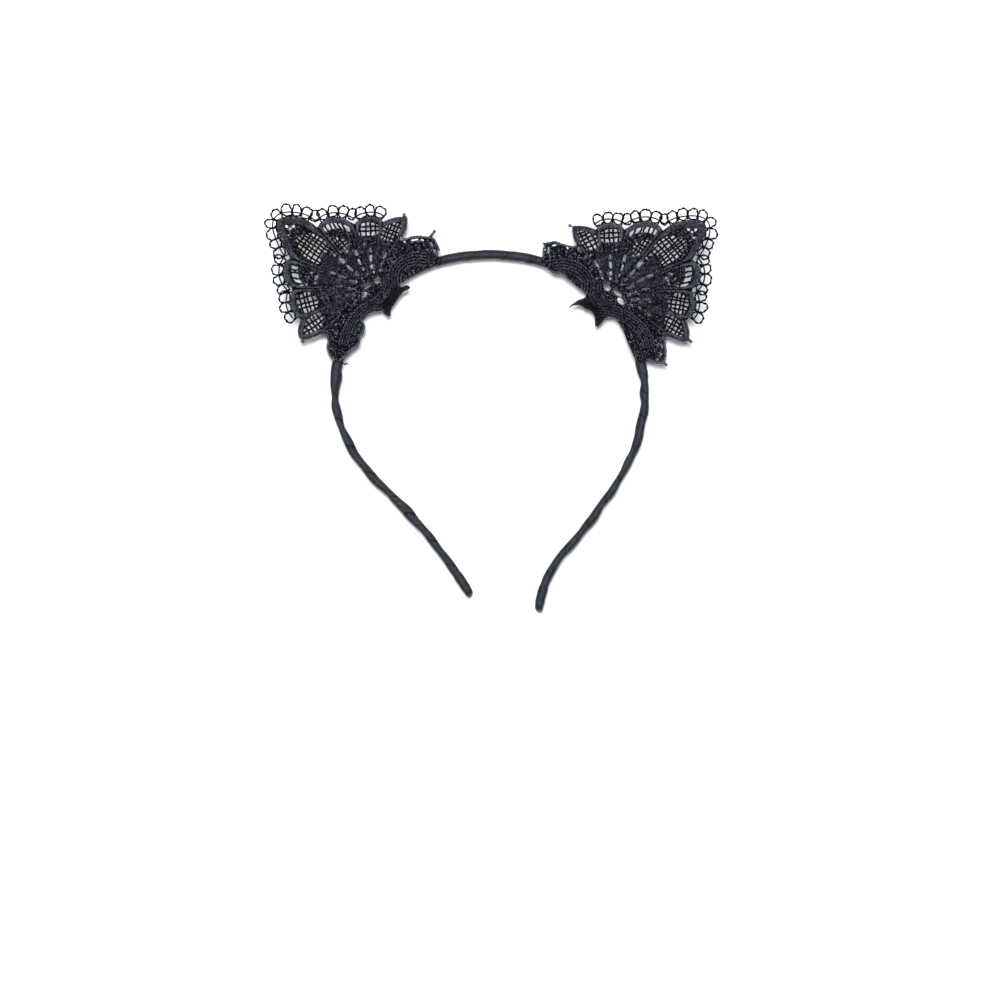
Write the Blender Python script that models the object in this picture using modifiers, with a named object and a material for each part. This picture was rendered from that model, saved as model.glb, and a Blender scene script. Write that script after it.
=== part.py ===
"""A ribbon-wrapped spring headband with two lace cat ears sewn to its front.

Run with: blender --background --python part.py

Metres, +Z up, as worn. The hoop lies in the XZ plane and the wearer looks along -Y.
The origin is on the inner face of the band at the top of the head.
"""

import math

import bpy
from mathutils import Vector

MM = 0.001

# Touching pieces keep this gap.
GAP = 0.3 * MM

# The spring strip and the ribbon wound round it. Widths run along Y, thicknesses across the band.
CORE_WIDTH = 4.5 * MM
CORE_THICKNESS = 1.0 * MM
RIBBON_WALL = 1.0 * MM
SLEEVE_WIDTH = CORE_WIDTH + 2 * GAP + 2 * RIBBON_WALL
SLEEVE_THICKNESS = CORE_THICKNESS + 2 * GAP + 2 * RIBBON_WALL
SLEEVE_CORNER = 0.8 * MM

# The band's centre line from the top of the head to each tip: (length, turn in degrees) of each
# arc in turn. The left leg is bent further round than the right one.
RIGHT_ARCS = (
    (24 * MM, 16),
    (76 * MM, 74),
    (24 * MM, 23),
    (22 * MM, 11),
    (31 * MM, 8),
    (26 * MM, -34),
)
LEFT_ARCS = (
    (18 * MM, 12),
    (67 * MM, 62),
    (26 * MM, 34),
    (32 * MM, 29),
    (28 * MM, -7),
    (32 * MM, -8),
)
STEP = 6 * MM

# Where the spring band is divided so that its flex can turn about a pivot, measured along the band
# from the top of the head, and the clearance that the divided ends turn in.
CROWN_END = 19 * MM
SHOULDER_END = 90 * MM
FLEX_CLEARANCE = 0.5 * MM

# The ribbon's folded end, which covers the tip of the strip.
TIP_FOLD_LENGTH = 5 * MM
TIP_FOLD_OVERHANG = 2 * MM
TIP_ROUNDING = ((0.45, 0.95), (0.75, 0.82), (0.93, 0.62), (1.0, 0.4))

# The lace of one ear. Its petals fan out from a centre just outside the band. Angles are measured
# from the ear's axis, which runs from that centre to the ear's point, positive towards the crown.
LACE_THICKNESS = 1.2 * MM
LACE_Y = -(SLEEVE_WIDTH / 2 + GAP + LACE_THICKNESS / 2)
EAR_CENTRES = {"left": Vector((51 * MM, -11.5 * MM)), "right": Vector((53.4 * MM, -14.3 * MM))}
EAR_AXES_DEG = {"left": 36, "right": 38}

# Round petals: (angle and radius of the notch before it, radius of its crest). They run from the
# crown side to the far side, and the last entry only closes the last petal.
ROUND_PETALS = (
    (66.5, 27.0 * MM, 29.2 * MM),
    (40.5, 26.9 * MM, 33.0 * MM),
    (13.0, 33.3 * MM, 48.6 * MM),
    (-16.0, 35.4 * MM, 37.6 * MM),
    (-36.6, 33.0 * MM, 34.6 * MM),
    (-59.6, 33.0 * MM, 33.0 * MM),
)
CREST_POWER = 0.75
RIM_STEPS = 24

# The two outermost petals are pointed: (angle, radius) along their edge, from the lace's crease.
CROWN_PETAL = ((88, 22.9 * MM), (85.5, 29 * MM), (82.5, 33.8 * MM), (78, 31.5 * MM))
FAR_PETAL = ((-66, 35.5 * MM), (-74, 38.3 * MM), (-77, 34.5 * MM), (-82, 28.5 * MM))

# A row of picot loops stands on the edge of the round petals.
PICOT_RADIUS = 2.0 * MM
PICOT_PITCH = 4.4 * MM
PICOT_STANDOFF = 3.4 * MM
PICOT_VALLEY = 2.2 * MM
PICOT_HOLE_RADIUS = 1.25 * MM
PICOT_TRIM = 3

# Openings in the fan: net windows as (angle, radius, half length, half width) and long slots
# between the stems of the petals as (angle, near radius, far radius).
NET_WINDOWS = (
    (75, 25.3 * MM, 4.6 * MM, 3.0 * MM),
    (52, 24.4 * MM, 2.9 * MM, 4.4 * MM),
    (26, 28.6 * MM, 2.2 * MM, 5.0 * MM),
    (-1, 30.0 * MM, 7.6 * MM, 5.8 * MM),
    (-25, 31.0 * MM, 2.3 * MM, 4.6 * MM),
    (-49, 27.6 * MM, 4.2 * MM, 4.0 * MM),
    (-69, 28.6 * MM, 4.8 * MM, 3.0 * MM),
)
NET_PITCH = 2.9 * MM
NET_HOLE = 1.0 * MM
SLOTS = (
    (61, 9 * MM, 15 * MM),
    (40, 7 * MM, 15 * MM),
    (14, 7 * MM, 17 * MM),
    (-13, 7 * MM, 17 * MM),
    (-36, 7 * MM, 16 * MM),
    (-58, 9 * MM, 17 * MM),
)
SLOT_HALF_WIDTH = 0.45 * MM

# The ear bends along a crease from notch to notch, and the lace is divided there.
CREASE_GAP = 0.8 * MM

# The lace sewn to the band, below the crease. Its outline is (distance from the middle plane,
# height) points, except where it follows the inside of the band between two places along it.
SEWN_INSIDE = SLEEVE_THICKNESS / 2
SEWN_OUTLINES = {
    "left": (
        ((36.8, 9.0), (32.5, 10.3), (26.6, 9.8), (23.4, 11.5), (24.0, 8.0), (21.3, 3.4)),
        (22, 41),
        ((34.3, -12.3), (37.6, -15.2), (41.0, -20.0), (42.5, -24.6), (45.0, -22.5), (49.5, -22.9)),
        (),
        ((54.0, -25.4), (52.9, -29.5), (55.0, -34.2), (60.0, -40.0), (64.4, -44.6), (67.6, -43.0)),
        ((69.5, -38.0),),
    ),
    "right": (
        ((35.6, 6.2), (31.0, 7.3), (26.0, 7.1), (23.2, 5.9), (22.4, 2.6)),
        (23, 44),
        ((40.3, -17.4), (34.0, -20.9), (40.0, -20.8), (44.2, -25.0), (45.3, -29.1), (49.0, -26.4)),
        (62, 72),
        ((59.4, -38.0), (61.6, -42.6), (64.4, -45.8), (67.6, -45.2), (71.4, -44.2), (75.4, -45.5)),
        ((75.5, -40.0),),
    ),
}
# Three oval eyelets in a row along the crease: (along the ear's axis, across it) and half sizes.
EYELETS = ((-0.8, 4.0), (0.8, -0.5), (-0.1, -4.6))
EYELET_HALF_SIZES = (0.9 * MM, 1.6 * MM)

# The sewing thread: wound round the band and through the lace.
THREAD_RADIUS = 0.3 * MM
STITCH_SIDE = SLEEVE_THICKNESS / 2 + GAP + THREAD_RADIUS
STITCH_FRONT = LACE_Y - LACE_THICKNESS / 2 - GAP - THREAD_RADIUS
STITCH_BACK = SLEEVE_WIDTH / 2 + GAP + THREAD_RADIUS
STITCH_HOLE_RADIUS = 0.65 * MM
STITCH_PLACES = (27 * MM, 37 * MM, 51 * MM, 68 * MM, 80 * MM)
# The places where the lace reaches further inside the hoop than the thread does.
THROUGH_INSIDE = {"left": (51 * MM, 68 * MM, 80 * MM), "right": (51 * MM, 80 * MM)}
LOOP_CORNER = 0.9 * MM

# Principled BSDF values: colour, roughness, metallic.
SATIN = ((0.022, 0.025, 0.034), 0.42, 0.0)
LACE = ((0.012, 0.011, 0.014), 0.85, 0.0)
THREAD = ((0.010, 0.010, 0.012), 0.7, 0.0)
STEEL = ((0.45, 0.45, 0.47), 0.35, 1.0)

SIDES = {"left": (-1, LEFT_ARCS), "right": (1, RIGHT_ARCS)}


def clear_scene():
    for old in list(bpy.data.objects):
        bpy.data.objects.remove(old)


def collection(name):
    made = bpy.data.collections.new(name)
    bpy.context.scene.collection.children.link(made)
    return made


def material(name, look):
    colour, roughness, metallic = look
    made = bpy.data.materials.new(name)
    made.use_nodes = True
    shader = made.node_tree.nodes["Principled BSDF"]
    shader.inputs["Base Color"].default_value = (*colour, 1)
    shader.inputs["Roughness"].default_value = roughness
    shader.inputs["Metallic"].default_value = metallic
    return made


def band_length(arcs):
    return sum(length for length, _ in arcs)


def on_band(side, arcs, along, outside=0.0):
    """The point (x, z) that far along the band's centre line and that far outside it, and the
    heading of the line there in degrees below the horizontal."""
    x, z, heading = 0.0, SLEEVE_THICKNESS / 2, 0.0
    left = along
    for index, (length, turn) in enumerate(arcs):
        last = index == len(arcs) - 1
        part = left if last else min(left, length)
        swept = math.radians(turn) * part / length
        chord = part if abs(swept) < 1e-9 else part * math.sin(swept / 2) / (swept / 2)
        middle = heading + swept / 2
        x += chord * math.cos(middle)
        z -= chord * math.sin(middle)
        heading += swept
        left -= part
        if left <= 1e-12:
            break
    x += outside * math.sin(heading)
    z += outside * math.cos(heading)
    return Vector((side * x, z)), math.degrees(heading)


def stretch(side, arcs, start, stop, outside=0.0):
    """Points every STEP or less along the band, from start to stop."""
    count = max(2, math.ceil(abs(stop - start) / STEP) + 1)
    places = [start + (stop - start) * i / (count - 1) for i in range(count)]
    return [on_band(side, arcs, place, outside)[0] for place in places]


def upright(obj):
    """Stands a shape drawn in the local XY plane up in the row's XZ plane."""
    obj.rotation_euler = (math.radians(90), 0, 0)


def curve_object(name, into, dimensions="2D"):
    data = bpy.data.curves.new(name, "CURVE")
    data.dimensions = dimensions
    obj = bpy.data.objects.new(name, data)
    into.objects.link(obj)
    return obj


def add_line(data, points, cyclic=False, radii=None):
    """Adds a POLY spline through points of two or three coordinates."""
    spline = data.splines.new("POLY")
    spline.points.add(len(points) - 1)
    for index, point in enumerate(points):
        spline.points[index].co = (*point, 0, 1) if len(point) == 2 else (*point, 1)
        if radii:
            spline.points[index].radius = radii[index]
    spline.use_cyclic_u = cyclic
    return spline


def rounded_rectangle(half_x, half_y, corner, steps):
    """Corner arcs of a rectangle, anticlockwise from +X."""
    points = []
    for quarter, (sx, sy) in enumerate(((1, 1), (-1, 1), (-1, -1), (1, -1))):
        for i in range(steps + 1):
            angle = math.radians(90 * (quarter + i / steps))
            centre = Vector((sx * (half_x - corner), sy * (half_y - corner)))
            points.append(centre + corner * Vector((math.cos(angle), math.sin(angle))))
    return points


def section(name, guides):
    """The outline of the wound ribbon's cross-section, which the band's line is swept with."""
    obj = curve_object(name, guides)
    outline = rounded_rectangle(SLEEVE_THICKNESS / 2, SLEEVE_WIDTH / 2, SLEEVE_CORNER, 1)
    add_line(obj.data, list(reversed(outline)), cyclic=True)
    obj.hide_render = True
    obj.display_type = "WIRE"
    return obj


def finish(obj, look):
    obj.data.materials.append(look)
    return obj


def sleeve(name, points, profile, into, look):
    """A stretch of wound ribbon, open at both ends, round the core."""
    obj = curve_object(name, into)
    add_line(obj.data, points)
    obj.data.bevel_mode = "OBJECT"
    obj.data.bevel_object = profile
    upright(obj)
    shell = obj.modifiers.new("ribbon wall", "SOLIDIFY")
    shell.thickness = RIBBON_WALL
    shell.offset = -1
    shell.use_even_offset = True
    return finish(obj, look)


def strip(name, inner, outer, half_width, into, look):
    """A flat strip on edge: the outline between two lines, extruded to both sides of the hoop."""
    obj = curve_object(name, into)
    add_line(obj.data, [*outer, *reversed(inner)], cyclic=True)
    obj.data.fill_mode = "BOTH"
    obj.data.extrude = half_width
    upright(obj)
    return finish(obj, look)


def core(name, side, arcs, start, stop, into, look):
    outer = stretch(side, arcs, start, stop, CORE_THICKNESS / 2)
    inner = stretch(side, arcs, start, stop, -CORE_THICKNESS / 2)
    return strip(name, inner, outer, CORE_WIDTH / 2, into, look)


def crown_line(start, outside=0.0):
    """The line of the crown from its left end to its right end."""
    left = stretch(-1, LEFT_ARCS, start, 0, outside)
    right = stretch(1, RIGHT_ARCS, 0, start, outside)
    return [*left, *right[1:]]


def crown(profile, into, looks):
    end = CROWN_END - FLEX_CLEARANCE / 2
    sleeve("crown_ribbon_wrap", crown_line(end), profile, into, looks["satin"])
    outer = crown_line(end, CORE_THICKNESS / 2)
    inner = crown_line(end, -CORE_THICKNESS / 2)
    strip("crown_spring_core", inner, outer, CORE_WIDTH / 2, into, looks["steel"])


def mesh_copy(obj, into):
    """A mesh object in place of a curve object, with its loose caps welded to its walls."""
    import bmesh

    graph = bpy.context.evaluated_depsgraph_get()
    mesh = bpy.data.meshes.new_from_object(obj.evaluated_get(graph))
    shape = bmesh.new()
    shape.from_mesh(mesh)
    bmesh.ops.remove_doubles(shape, verts=shape.verts, dist=1e-6)
    bmesh.ops.recalc_face_normals(shape, faces=shape.faces)
    shape.to_mesh(mesh)
    shape.free()
    name = obj.name
    place = obj.matrix_world.copy()
    bpy.data.objects.remove(obj)
    made = bpy.data.objects.new(name, mesh)
    made.matrix_world = place
    into.objects.link(made)
    return made


def tip_fold(name, side, arcs, profile, into, guides, look):
    """The ribbon's folded and glued end: a rounded cap with a pocket for the strip's tip."""
    end = band_length(arcs)
    start = end - TIP_FOLD_LENGTH
    overhang = [end + TIP_FOLD_OVERHANG * share for share, _ in TIP_ROUNDING]
    places = [start, end, *overhang]
    radii = [1, 1, *(size for _, size in TIP_ROUNDING)]
    points = [on_band(side, arcs, place)[0] for place in places]
    cap = curve_object(name, into)
    add_line(cap.data, points, radii=radii)
    cap.data.bevel_mode = "OBJECT"
    cap.data.bevel_object = profile
    cap.data.use_fill_caps = True
    upright(cap)
    bpy.context.view_layer.update()
    cap = mesh_copy(cap, into)

    reach = CORE_THICKNESS / 2 + GAP
    outer = stretch(side, arcs, start - STEP, end + GAP, reach)
    inner = stretch(side, arcs, start - STEP, end + GAP, -reach)
    cutter = strip(name + "_pocket", inner, outer, CORE_WIDTH / 2 + GAP, guides, look)
    bpy.context.view_layer.update()
    cutter = mesh_copy(cutter, guides)
    cutter.hide_render = True
    cutter.display_type = "WIRE"
    cut = cap.modifiers.new("pocket", "BOOLEAN")
    cut.operation = "DIFFERENCE"
    cut.object = cutter
    return finish(cap, look)


def arm(label, profile, into, guides, looks):
    """One side of the band: the shoulder that carries the ear, the leg and its tip."""
    side, arcs = SIDES[label]
    end = band_length(arcs)
    half_gap = FLEX_CLEARANCE / 2
    shoulder = (CROWN_END + half_gap, SHOULDER_END - half_gap)
    leg_start = SHOULDER_END + half_gap
    for part, start, stop in (("shoulder", *shoulder), ("leg", leg_start, end)):
        core(f"{label}_{part}_spring_core", side, arcs, start, stop, into, looks["steel"])
    wound = {
        "shoulder": shoulder,
        "leg": (leg_start, end - TIP_FOLD_LENGTH - GAP),
    }
    for part, (start, stop) in wound.items():
        line = stretch(side, arcs, start, stop)
        sleeve(f"{label}_{part}_ribbon_wrap", line, profile, into, looks["satin"])
    tip_fold(f"{label}_tip_ribbon_fold", side, arcs, profile, into, guides, looks["satin"])


def polar(angle, radius):
    """A point of the lace (along the ear's axis, across it towards the crown)."""
    turned = math.radians(angle)
    return radius * Vector((math.cos(turned), math.sin(turned)))


def in_place(label, points):
    """Points of the lace moved to where the ear is sewn on."""
    side = SIDES[label][0]
    turned = math.radians(EAR_AXES_DEG[label])
    axis = Vector((math.cos(turned), math.sin(turned)))
    across = Vector((-math.sin(turned), math.cos(turned)))
    placed = [EAR_CENTRES[label] + p.x * axis + p.y * across for p in points]
    return [Vector((side * p.x, p.y)) for p in placed]


def rim(petal, following, share):
    """The edge of a round petal, from its first notch at share 0 to the next one at share 1."""
    angle = petal[0] + (following[0] - petal[0]) * share
    radius = petal[1] + (following[1] - petal[1]) * share
    middle = (petal[1] + following[1]) / 2
    radius += (petal[2] - middle) * math.sin(math.pi * share) ** CREST_POWER
    return polar(angle, radius)


def round_edge():
    """Points along the edge of all the round petals, notch to notch."""
    points = []
    for petal, following in zip(ROUND_PETALS, ROUND_PETALS[1:]):
        points += [rim(petal, following, i / RIM_STEPS) for i in range(RIM_STEPS)]
    points.append(polar(*ROUND_PETALS[-1][:2]))
    return points


def left_of(vector):
    return Vector((-vector.y, vector.x))


def picot_line(edge):
    """The line of the picot loops' middles: the edge moved outwards, without the parts that would
    come too near to the edge again in a notch, and clear of the pointed petals at its ends."""
    line = []
    for before, after in zip(edge, edge[1:]):
        middle = (before + after) / 2
        moved = middle + PICOT_STANDOFF * left_of((after - before).normalized())
        if min((moved - point).length for point in edge) > 0.97 * PICOT_STANDOFF:
            line.append(moved)
    return line[PICOT_TRIM:-PICOT_TRIM]


def evenly(line, pitch):
    """Points on the line as near as can be to that pitch apart."""
    run = [0.0]
    for first, second in zip(line, line[1:]):
        run.append(run[-1] + (second - first).length)
    count = int(run[-1] / pitch)
    points = []
    index = 0
    for k in range(count + 1):
        target = run[-1] * k / count
        while index < len(run) - 2 and run[index + 1] < target:
            index += 1
        share = (target - run[index]) / (run[index + 1] - run[index])
        points.append(line[index].lerp(line[index + 1], share))
    return points


def picots():
    """The scalloped outline of the row of picot loops, and the loops' middles."""
    middles = evenly(picot_line(round_edge()), PICOT_PITCH)
    outline = []
    for k, middle in enumerate(middles):
        before = middles[max(0, k - 1)]
        after = middles[min(len(middles) - 1, k + 1)]
        tangent = (after - before).normalized()
        for degrees in (-75, -45, -15, 15, 45, 75):
            turned = math.radians(degrees)
            away = math.cos(turned) * left_of(tangent) + math.sin(turned) * tangent
            outline.append(middle + PICOT_RADIUS * away)
        if k < len(middles) - 1:
            half_way = (middle + after) / 2
            outline.append(half_way - PICOT_VALLEY * left_of((after - middle).normalized()))
    return outline, middles


def lace_plate(name, into, look):
    """An empty flat plate of lace in front of the band, ready for its outline."""
    obj = curve_object(name, into)
    obj.data.fill_mode = "BOTH"
    obj.data.extrude = LACE_THICKNESS / 2
    obj.location.y = LACE_Y
    upright(obj)
    return finish(obj, look)


def ring(middle, half_x, half_y, count, start=0.0):
    points = []
    for i in range(count):
        angle = math.radians(start + 360 * i / count)
        points.append(middle + Vector((half_x * math.cos(angle), half_y * math.sin(angle))))
    return points


def net_holes(window):
    """Diamond openings in rows inside an elliptic window."""
    angle, radius, half_length, half_width = window
    middle = polar(angle, radius)
    along = polar(angle, 1)
    across = Vector((-along.y, along.x))
    holes = []
    reach = 4
    for i in range(-reach, reach + 1):
        for j in range(-reach, reach + 1):
            if (i + j) % 2:
                continue
            x, y = i * NET_PITCH / 2, j * NET_PITCH / 2
            if (x / half_length) ** 2 + (y / half_width) ** 2 > 1:
                continue
            centre = middle + x * along + y * across
            holes.append([
                centre + NET_HOLE * (math.cos(a) * along + math.sin(a) * across)
                for a in (math.radians(90 * k) for k in range(4))
            ])
    return holes


def slot_hole(angle, near, far):
    along = polar(angle, 1)
    across = SLOT_HALF_WIDTH * Vector((-along.y, along.x))
    return [near * along - across, far * along - across, far * along + across, near * along + across]


def crease_ends(shift):
    """The two ends of the crease, moved that far towards the ear's point."""
    ends = [polar(*CROWN_PETAL[0]), polar(*FAR_PETAL[-1])]
    return [end + Vector((shift, 0)) for end in ends]


def lace_fan(label, into, look):
    """The petals of the ear, from their picot edge down to the crease."""
    first, last = crease_ends(CREASE_GAP / 2)
    scallops, middles = picots()
    outline = [first, *(polar(*point) for point in CROWN_PETAL[1:])]
    outline.append(polar(*ROUND_PETALS[0][:2]))
    outline += scallops
    closing = ROUND_PETALS[-1]
    outline.append(polar(*closing[:2]))
    outline += [polar(*point) for point in FAR_PETAL[:-1]]
    outline.append(last)
    holes = [ring(middle, PICOT_HOLE_RADIUS, PICOT_HOLE_RADIUS, 6) for middle in middles]
    for window in NET_WINDOWS:
        holes += net_holes(window)
    holes += [slot_hole(*slot) for slot in SLOTS]
    obj = lace_plate(f"{label}_ear_lace_fan", into, look)
    for shape in (outline, *holes):
        add_line(obj.data, in_place(label, shape), cyclic=True)
    return obj


def sewn_lace(label, into, look):
    """The lace over the band: its end lobes, its eyelets and the leaf tips inside the hoop."""
    side, arcs = SIDES[label]
    first, last = in_place(label, crease_ends(-CREASE_GAP / 2))
    outline = [first]
    for index, run in enumerate(SEWN_OUTLINES[label]):
        if index in (1, 3):
            if run:
                outline += stretch(side, arcs, run[0] * MM, run[1] * MM, -SEWN_INSIDE)
        else:
            outline += [Vector((side * x * MM, z * MM)) for x, z in run]
    outline.append(last)
    obj = lace_plate(f"{label}_ear_sewn_lace", into, look)
    add_line(obj.data, outline, cyclic=True)
    for along, across in EYELETS:
        eyelet = ring(Vector((along * MM, across * MM)), *EYELET_HALF_SIZES, 8)
        add_line(obj.data, in_place(label, eyelet), cyclic=True)
    for along in STITCH_PLACES:
        middles = [on_band(side, arcs, along, STITCH_SIDE)[0]]
        if along in THROUGH_INSIDE[label]:
            middles.append(on_band(side, arcs, along, -STITCH_SIDE)[0])
        for middle in middles:
            hole = ring(middle, STITCH_HOLE_RADIUS, STITCH_HOLE_RADIUS, 6)
            add_line(obj.data, hole, cyclic=True)
    return obj


def stitches(label, into, look):
    """One sewing thread wound round the band: across the front of the lace at each place, down
    through it at the outer hole, and across the back to the next inner hole."""
    side, arcs = SIDES[label]
    obj = curve_object(f"{label}_ear_stitches", into, "3D")
    obj.data.bevel_depth = THREAD_RADIUS
    obj.data.bevel_resolution = 1
    obj.data.use_fill_caps = True
    middle_y = (STITCH_FRONT + STITCH_BACK) / 2
    half_y = (STITCH_BACK - STITCH_FRONT) / 2
    corners = rounded_rectangle(STITCH_SIDE, half_y, LOOP_CORNER, 1)
    path = []
    for along in STITCH_PLACES:
        centre, heading = on_band(side, arcs, along)
        turned = math.radians(heading)
        outwards = Vector((side * math.sin(turned), 0, math.cos(turned)))
        for across, depth in [*corners[2:], *corners[:2]]:
            place = Vector((centre.x, middle_y + depth, centre.y)) + across * outwards
            path.append(tuple(place))
    add_line(obj.data, path)
    return finish(obj, look)


def main():
    clear_scene()
    into = collection("animal ears headband")
    guides = collection("guides and cutters")
    looks = {
        "satin": material("black satin ribbon", SATIN),
        "lace": material("black guipure lace", LACE),
        "thread": material("black sewing thread", THREAD),
        "steel": material("spring steel", STEEL),
    }
    profile = section("ribbon_section", guides)
    crown(profile, into, looks)
    for label in SIDES:
        arm(label, profile, into, guides, looks)
        lace_fan(label, into, looks["lace"])
        sewn_lace(label, into, looks["lace"])
        stitches(label, into, looks["thread"])


main()
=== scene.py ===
"""A black lace cat ears headband: satin ribbon wound round a spring band, with two guipure lace ears.

Lengths are in millimetres and angles in degrees until a mesh is made or a light is turned.
"""

import math
import random

import bpy
import numpy as np
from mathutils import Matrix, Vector

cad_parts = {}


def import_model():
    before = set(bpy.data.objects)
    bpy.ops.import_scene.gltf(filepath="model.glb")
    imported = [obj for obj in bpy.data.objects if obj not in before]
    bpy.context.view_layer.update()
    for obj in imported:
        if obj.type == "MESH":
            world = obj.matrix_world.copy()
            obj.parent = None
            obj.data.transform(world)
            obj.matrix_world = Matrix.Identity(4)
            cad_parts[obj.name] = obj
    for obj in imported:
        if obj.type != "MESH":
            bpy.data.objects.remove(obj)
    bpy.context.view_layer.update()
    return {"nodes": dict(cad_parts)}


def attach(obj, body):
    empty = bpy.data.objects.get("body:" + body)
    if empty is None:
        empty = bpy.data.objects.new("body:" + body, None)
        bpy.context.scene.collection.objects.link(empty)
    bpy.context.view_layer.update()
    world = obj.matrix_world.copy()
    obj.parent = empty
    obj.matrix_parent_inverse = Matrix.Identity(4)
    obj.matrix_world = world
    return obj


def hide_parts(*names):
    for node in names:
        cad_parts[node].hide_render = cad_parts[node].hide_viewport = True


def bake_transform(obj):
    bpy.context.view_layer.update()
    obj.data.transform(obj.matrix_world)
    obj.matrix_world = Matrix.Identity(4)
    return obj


MM = 0.001

# The band's line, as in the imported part: (length, turn) of each arc from the crown outwards.
ARCS = {
    "right": ((24, 16), (76, 74), (24, 23), (22, 11), (31, 8), (26, -34)),
    "left": ((18, 12), (67, 62), (26, 34), (32, 29), (28, -7), (32, -8)),
}
SIDE = {"left": -1, "right": 1}
HALF_THICKNESS = 1.8
# Distances from the crown: the tip, and the joints the band bends at.
BAND_END = 203.0

# The ears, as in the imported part: the centre of the fan, its axis, and the crease it bends along.
EAR_CENTRE = {"left": (51.0, -11.5), "right": (53.4, -14.3)}
EAR_AXIS = {"left": 36, "right": 38}
CREASE = ((88, 22.9), (-82, 28.5))

# How far the inner parts of each fan are pulled round from the drawn angles.
FAN_TWIST = {"left": -2.5, "right": 2.5}
# The lace: where its middle lies from front to back, the corners of its drawing, and the grid's step.
LACE_DEPTH = -4.75
LACE_CORNERS = ((19.5, -48.5), (97.0, 26.0))
GRID = 0.27
# The samples of the band's line that the ears are sewn along.
SEWN_STRETCH = slice(60, 400, 6)
# Its edge, in grid steps: how far inside and outside the outline points are moved, and how far.
EDGE_INSIDE = 0.14
EDGE_OUTSIDE = 0.74
EDGE_MOVE = 0.9
# Its faces: the least height in front, the back's share of the front's height, and at most how much.
LEAST_HEIGHT = 0.1
BACK_SHARE = 0.55
MOST_BACK = 0.38
# Its threads: their radii, how far each family of the net is in front, and how far off the petals
# the bar of loops stands.
NET_RADIUS = 0.43
NET_LIFTS = (0.01, 0.29)
PICOT_RADIUS = 0.38
BAR_RADIUS = PICOT_RADIUS * 0.85
BAR_STANDOFF = 1.85
STITCH_RADIUS = 0.17
FRAYED_RADIUS = 0.19

RIBBON_WIDTH = 16.0
# How far along the band the ribbon's width reaches at its slant, and where the ribbon ends.
RIBBON_AXIAL = 20.0
RIBBON_END = 200.5
RIBBON_SHEET = 0.09


# --- the band's line


def sample_band(arcs, step=0.25):
    """Arrays of place along the band, x, z and heading, a little past the tip."""
    along = np.arange(0, BAND_END + 8, step)
    x, z, heading = [0.0], [HALF_THICKNESS], [0.0]
    ends = np.cumsum([length for length, _ in arcs])
    for place in along[:-1]:
        index = min(int(np.searchsorted(ends, place + step / 2)), len(arcs) - 1)
        length, turn = arcs[index]
        swept = math.radians(turn) / length * step
        middle = heading[-1] + swept / 2
        x.append(x[-1] + step * math.cos(middle))
        z.append(z[-1] - step * math.sin(middle))
        heading.append(heading[-1] + swept)
    return along, np.array(x), np.array(z), np.array(heading)


BAND = {side: sample_band(arcs) for side, arcs in ARCS.items()}


def band(sigma, outside=0.0):
    """x and z at signed places along the band, right of the crown positive, moved outwards."""
    place = np.abs(sigma)
    found = {}
    for side, (along, x, z, heading) in BAND.items():
        turned = np.interp(place, along, heading)
        px = np.interp(place, along, x) + outside * np.sin(turned)
        pz = np.interp(place, along, z) + outside * np.cos(turned)
        found[side] = (SIDE[side] * px, pz)
    on_right = np.asarray(sigma) >= 0
    return [np.where(on_right, *both) for both in zip(found["right"], found["left"])]


def band_point(side, along, outside=0.0, y=0.0):
    """A point in metres at that distance from the crown."""
    x, z = band(SIDE[side] * along, outside)
    return Vector((float(x) * MM, y * MM, float(z) * MM))


# --- meshes


def placed(name, data):
    """A new object in the scene."""
    obj = bpy.data.objects.new(name, data)
    bpy.context.scene.collection.objects.link(obj)
    return obj


def stacked(x, y, z):
    """Rows of points from arrays of their coordinates."""
    return np.stack([x, y, z], axis=-1).reshape(-1, 3)


def mesh_object(name, verts, faces, attributes=None, smooth=True):
    """A mesh in metres from points in millimetres, with one float attribute per named array."""
    data = bpy.data.meshes.new(name)
    data.from_pydata((np.asarray(verts) * MM).tolist(), [], faces)
    for key, values in (attributes or {}).items():
        layer = data.attributes.new(key, "FLOAT", "POINT")
        layer.data.foreach_set("value", np.asarray(values, np.float32))
    data.validate()
    if smooth:
        data.polygons.foreach_set("use_smooth", [True] * len(data.polygons))
    data.update()
    return placed(name, data)


def grid_faces(rows, columns, start=0, wrap=False, loop=False, flip=False):
    """Quads of a sheet of points stored row by row. It may wrap across, and its rows may loop."""
    last = rows if loop else rows - 1, columns if wrap else columns - 1
    i, j = np.indices(last)
    following = (j + 1) % columns
    row, above = (start + k % rows * columns for k in (i, i + 1))
    quads = np.stack([row + j, row + following, above + following, above + j], axis=-1).reshape(-1, 4)
    return (quads[:, ::-1] if flip else quads).tolist()


def smooth_line(points, step, closed=False):
    """Points at about that step on a Catmull-Rom curve through the given ones."""
    p = np.asarray(points, float)
    if closed:
        p = np.vstack([p[-1], p, p[0], p[1]])
    else:
        p = np.vstack([2 * p[0] - p[1], p, 2 * p[-1] - p[-2]])
    out = []
    for a, b, c, d in zip(p[:-3], p[1:-2], p[2:-1], p[3:]):
        count = max(1, int(round(np.linalg.norm(c[:2] - b[:2]) / step)))
        for t in np.arange(count) / count:
            square = 2 * b + (c - a) * t + (2 * a - 5 * b + 4 * c - d) * t * t
            out.append(0.5 * (square + (3 * b - a - 3 * c + d) * t**3))
    if not closed:
        out.append(p[-2])
    return np.array(out)


def unit(vector):
    """The same direction with length 1."""
    return vector / np.linalg.norm(vector)


def quarter_turn(vectors):
    """The same vectors in the lace's plane, turned to their left."""
    return np.stack([-vectors[..., 1], vectors[..., 0]], axis=-1)


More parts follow.
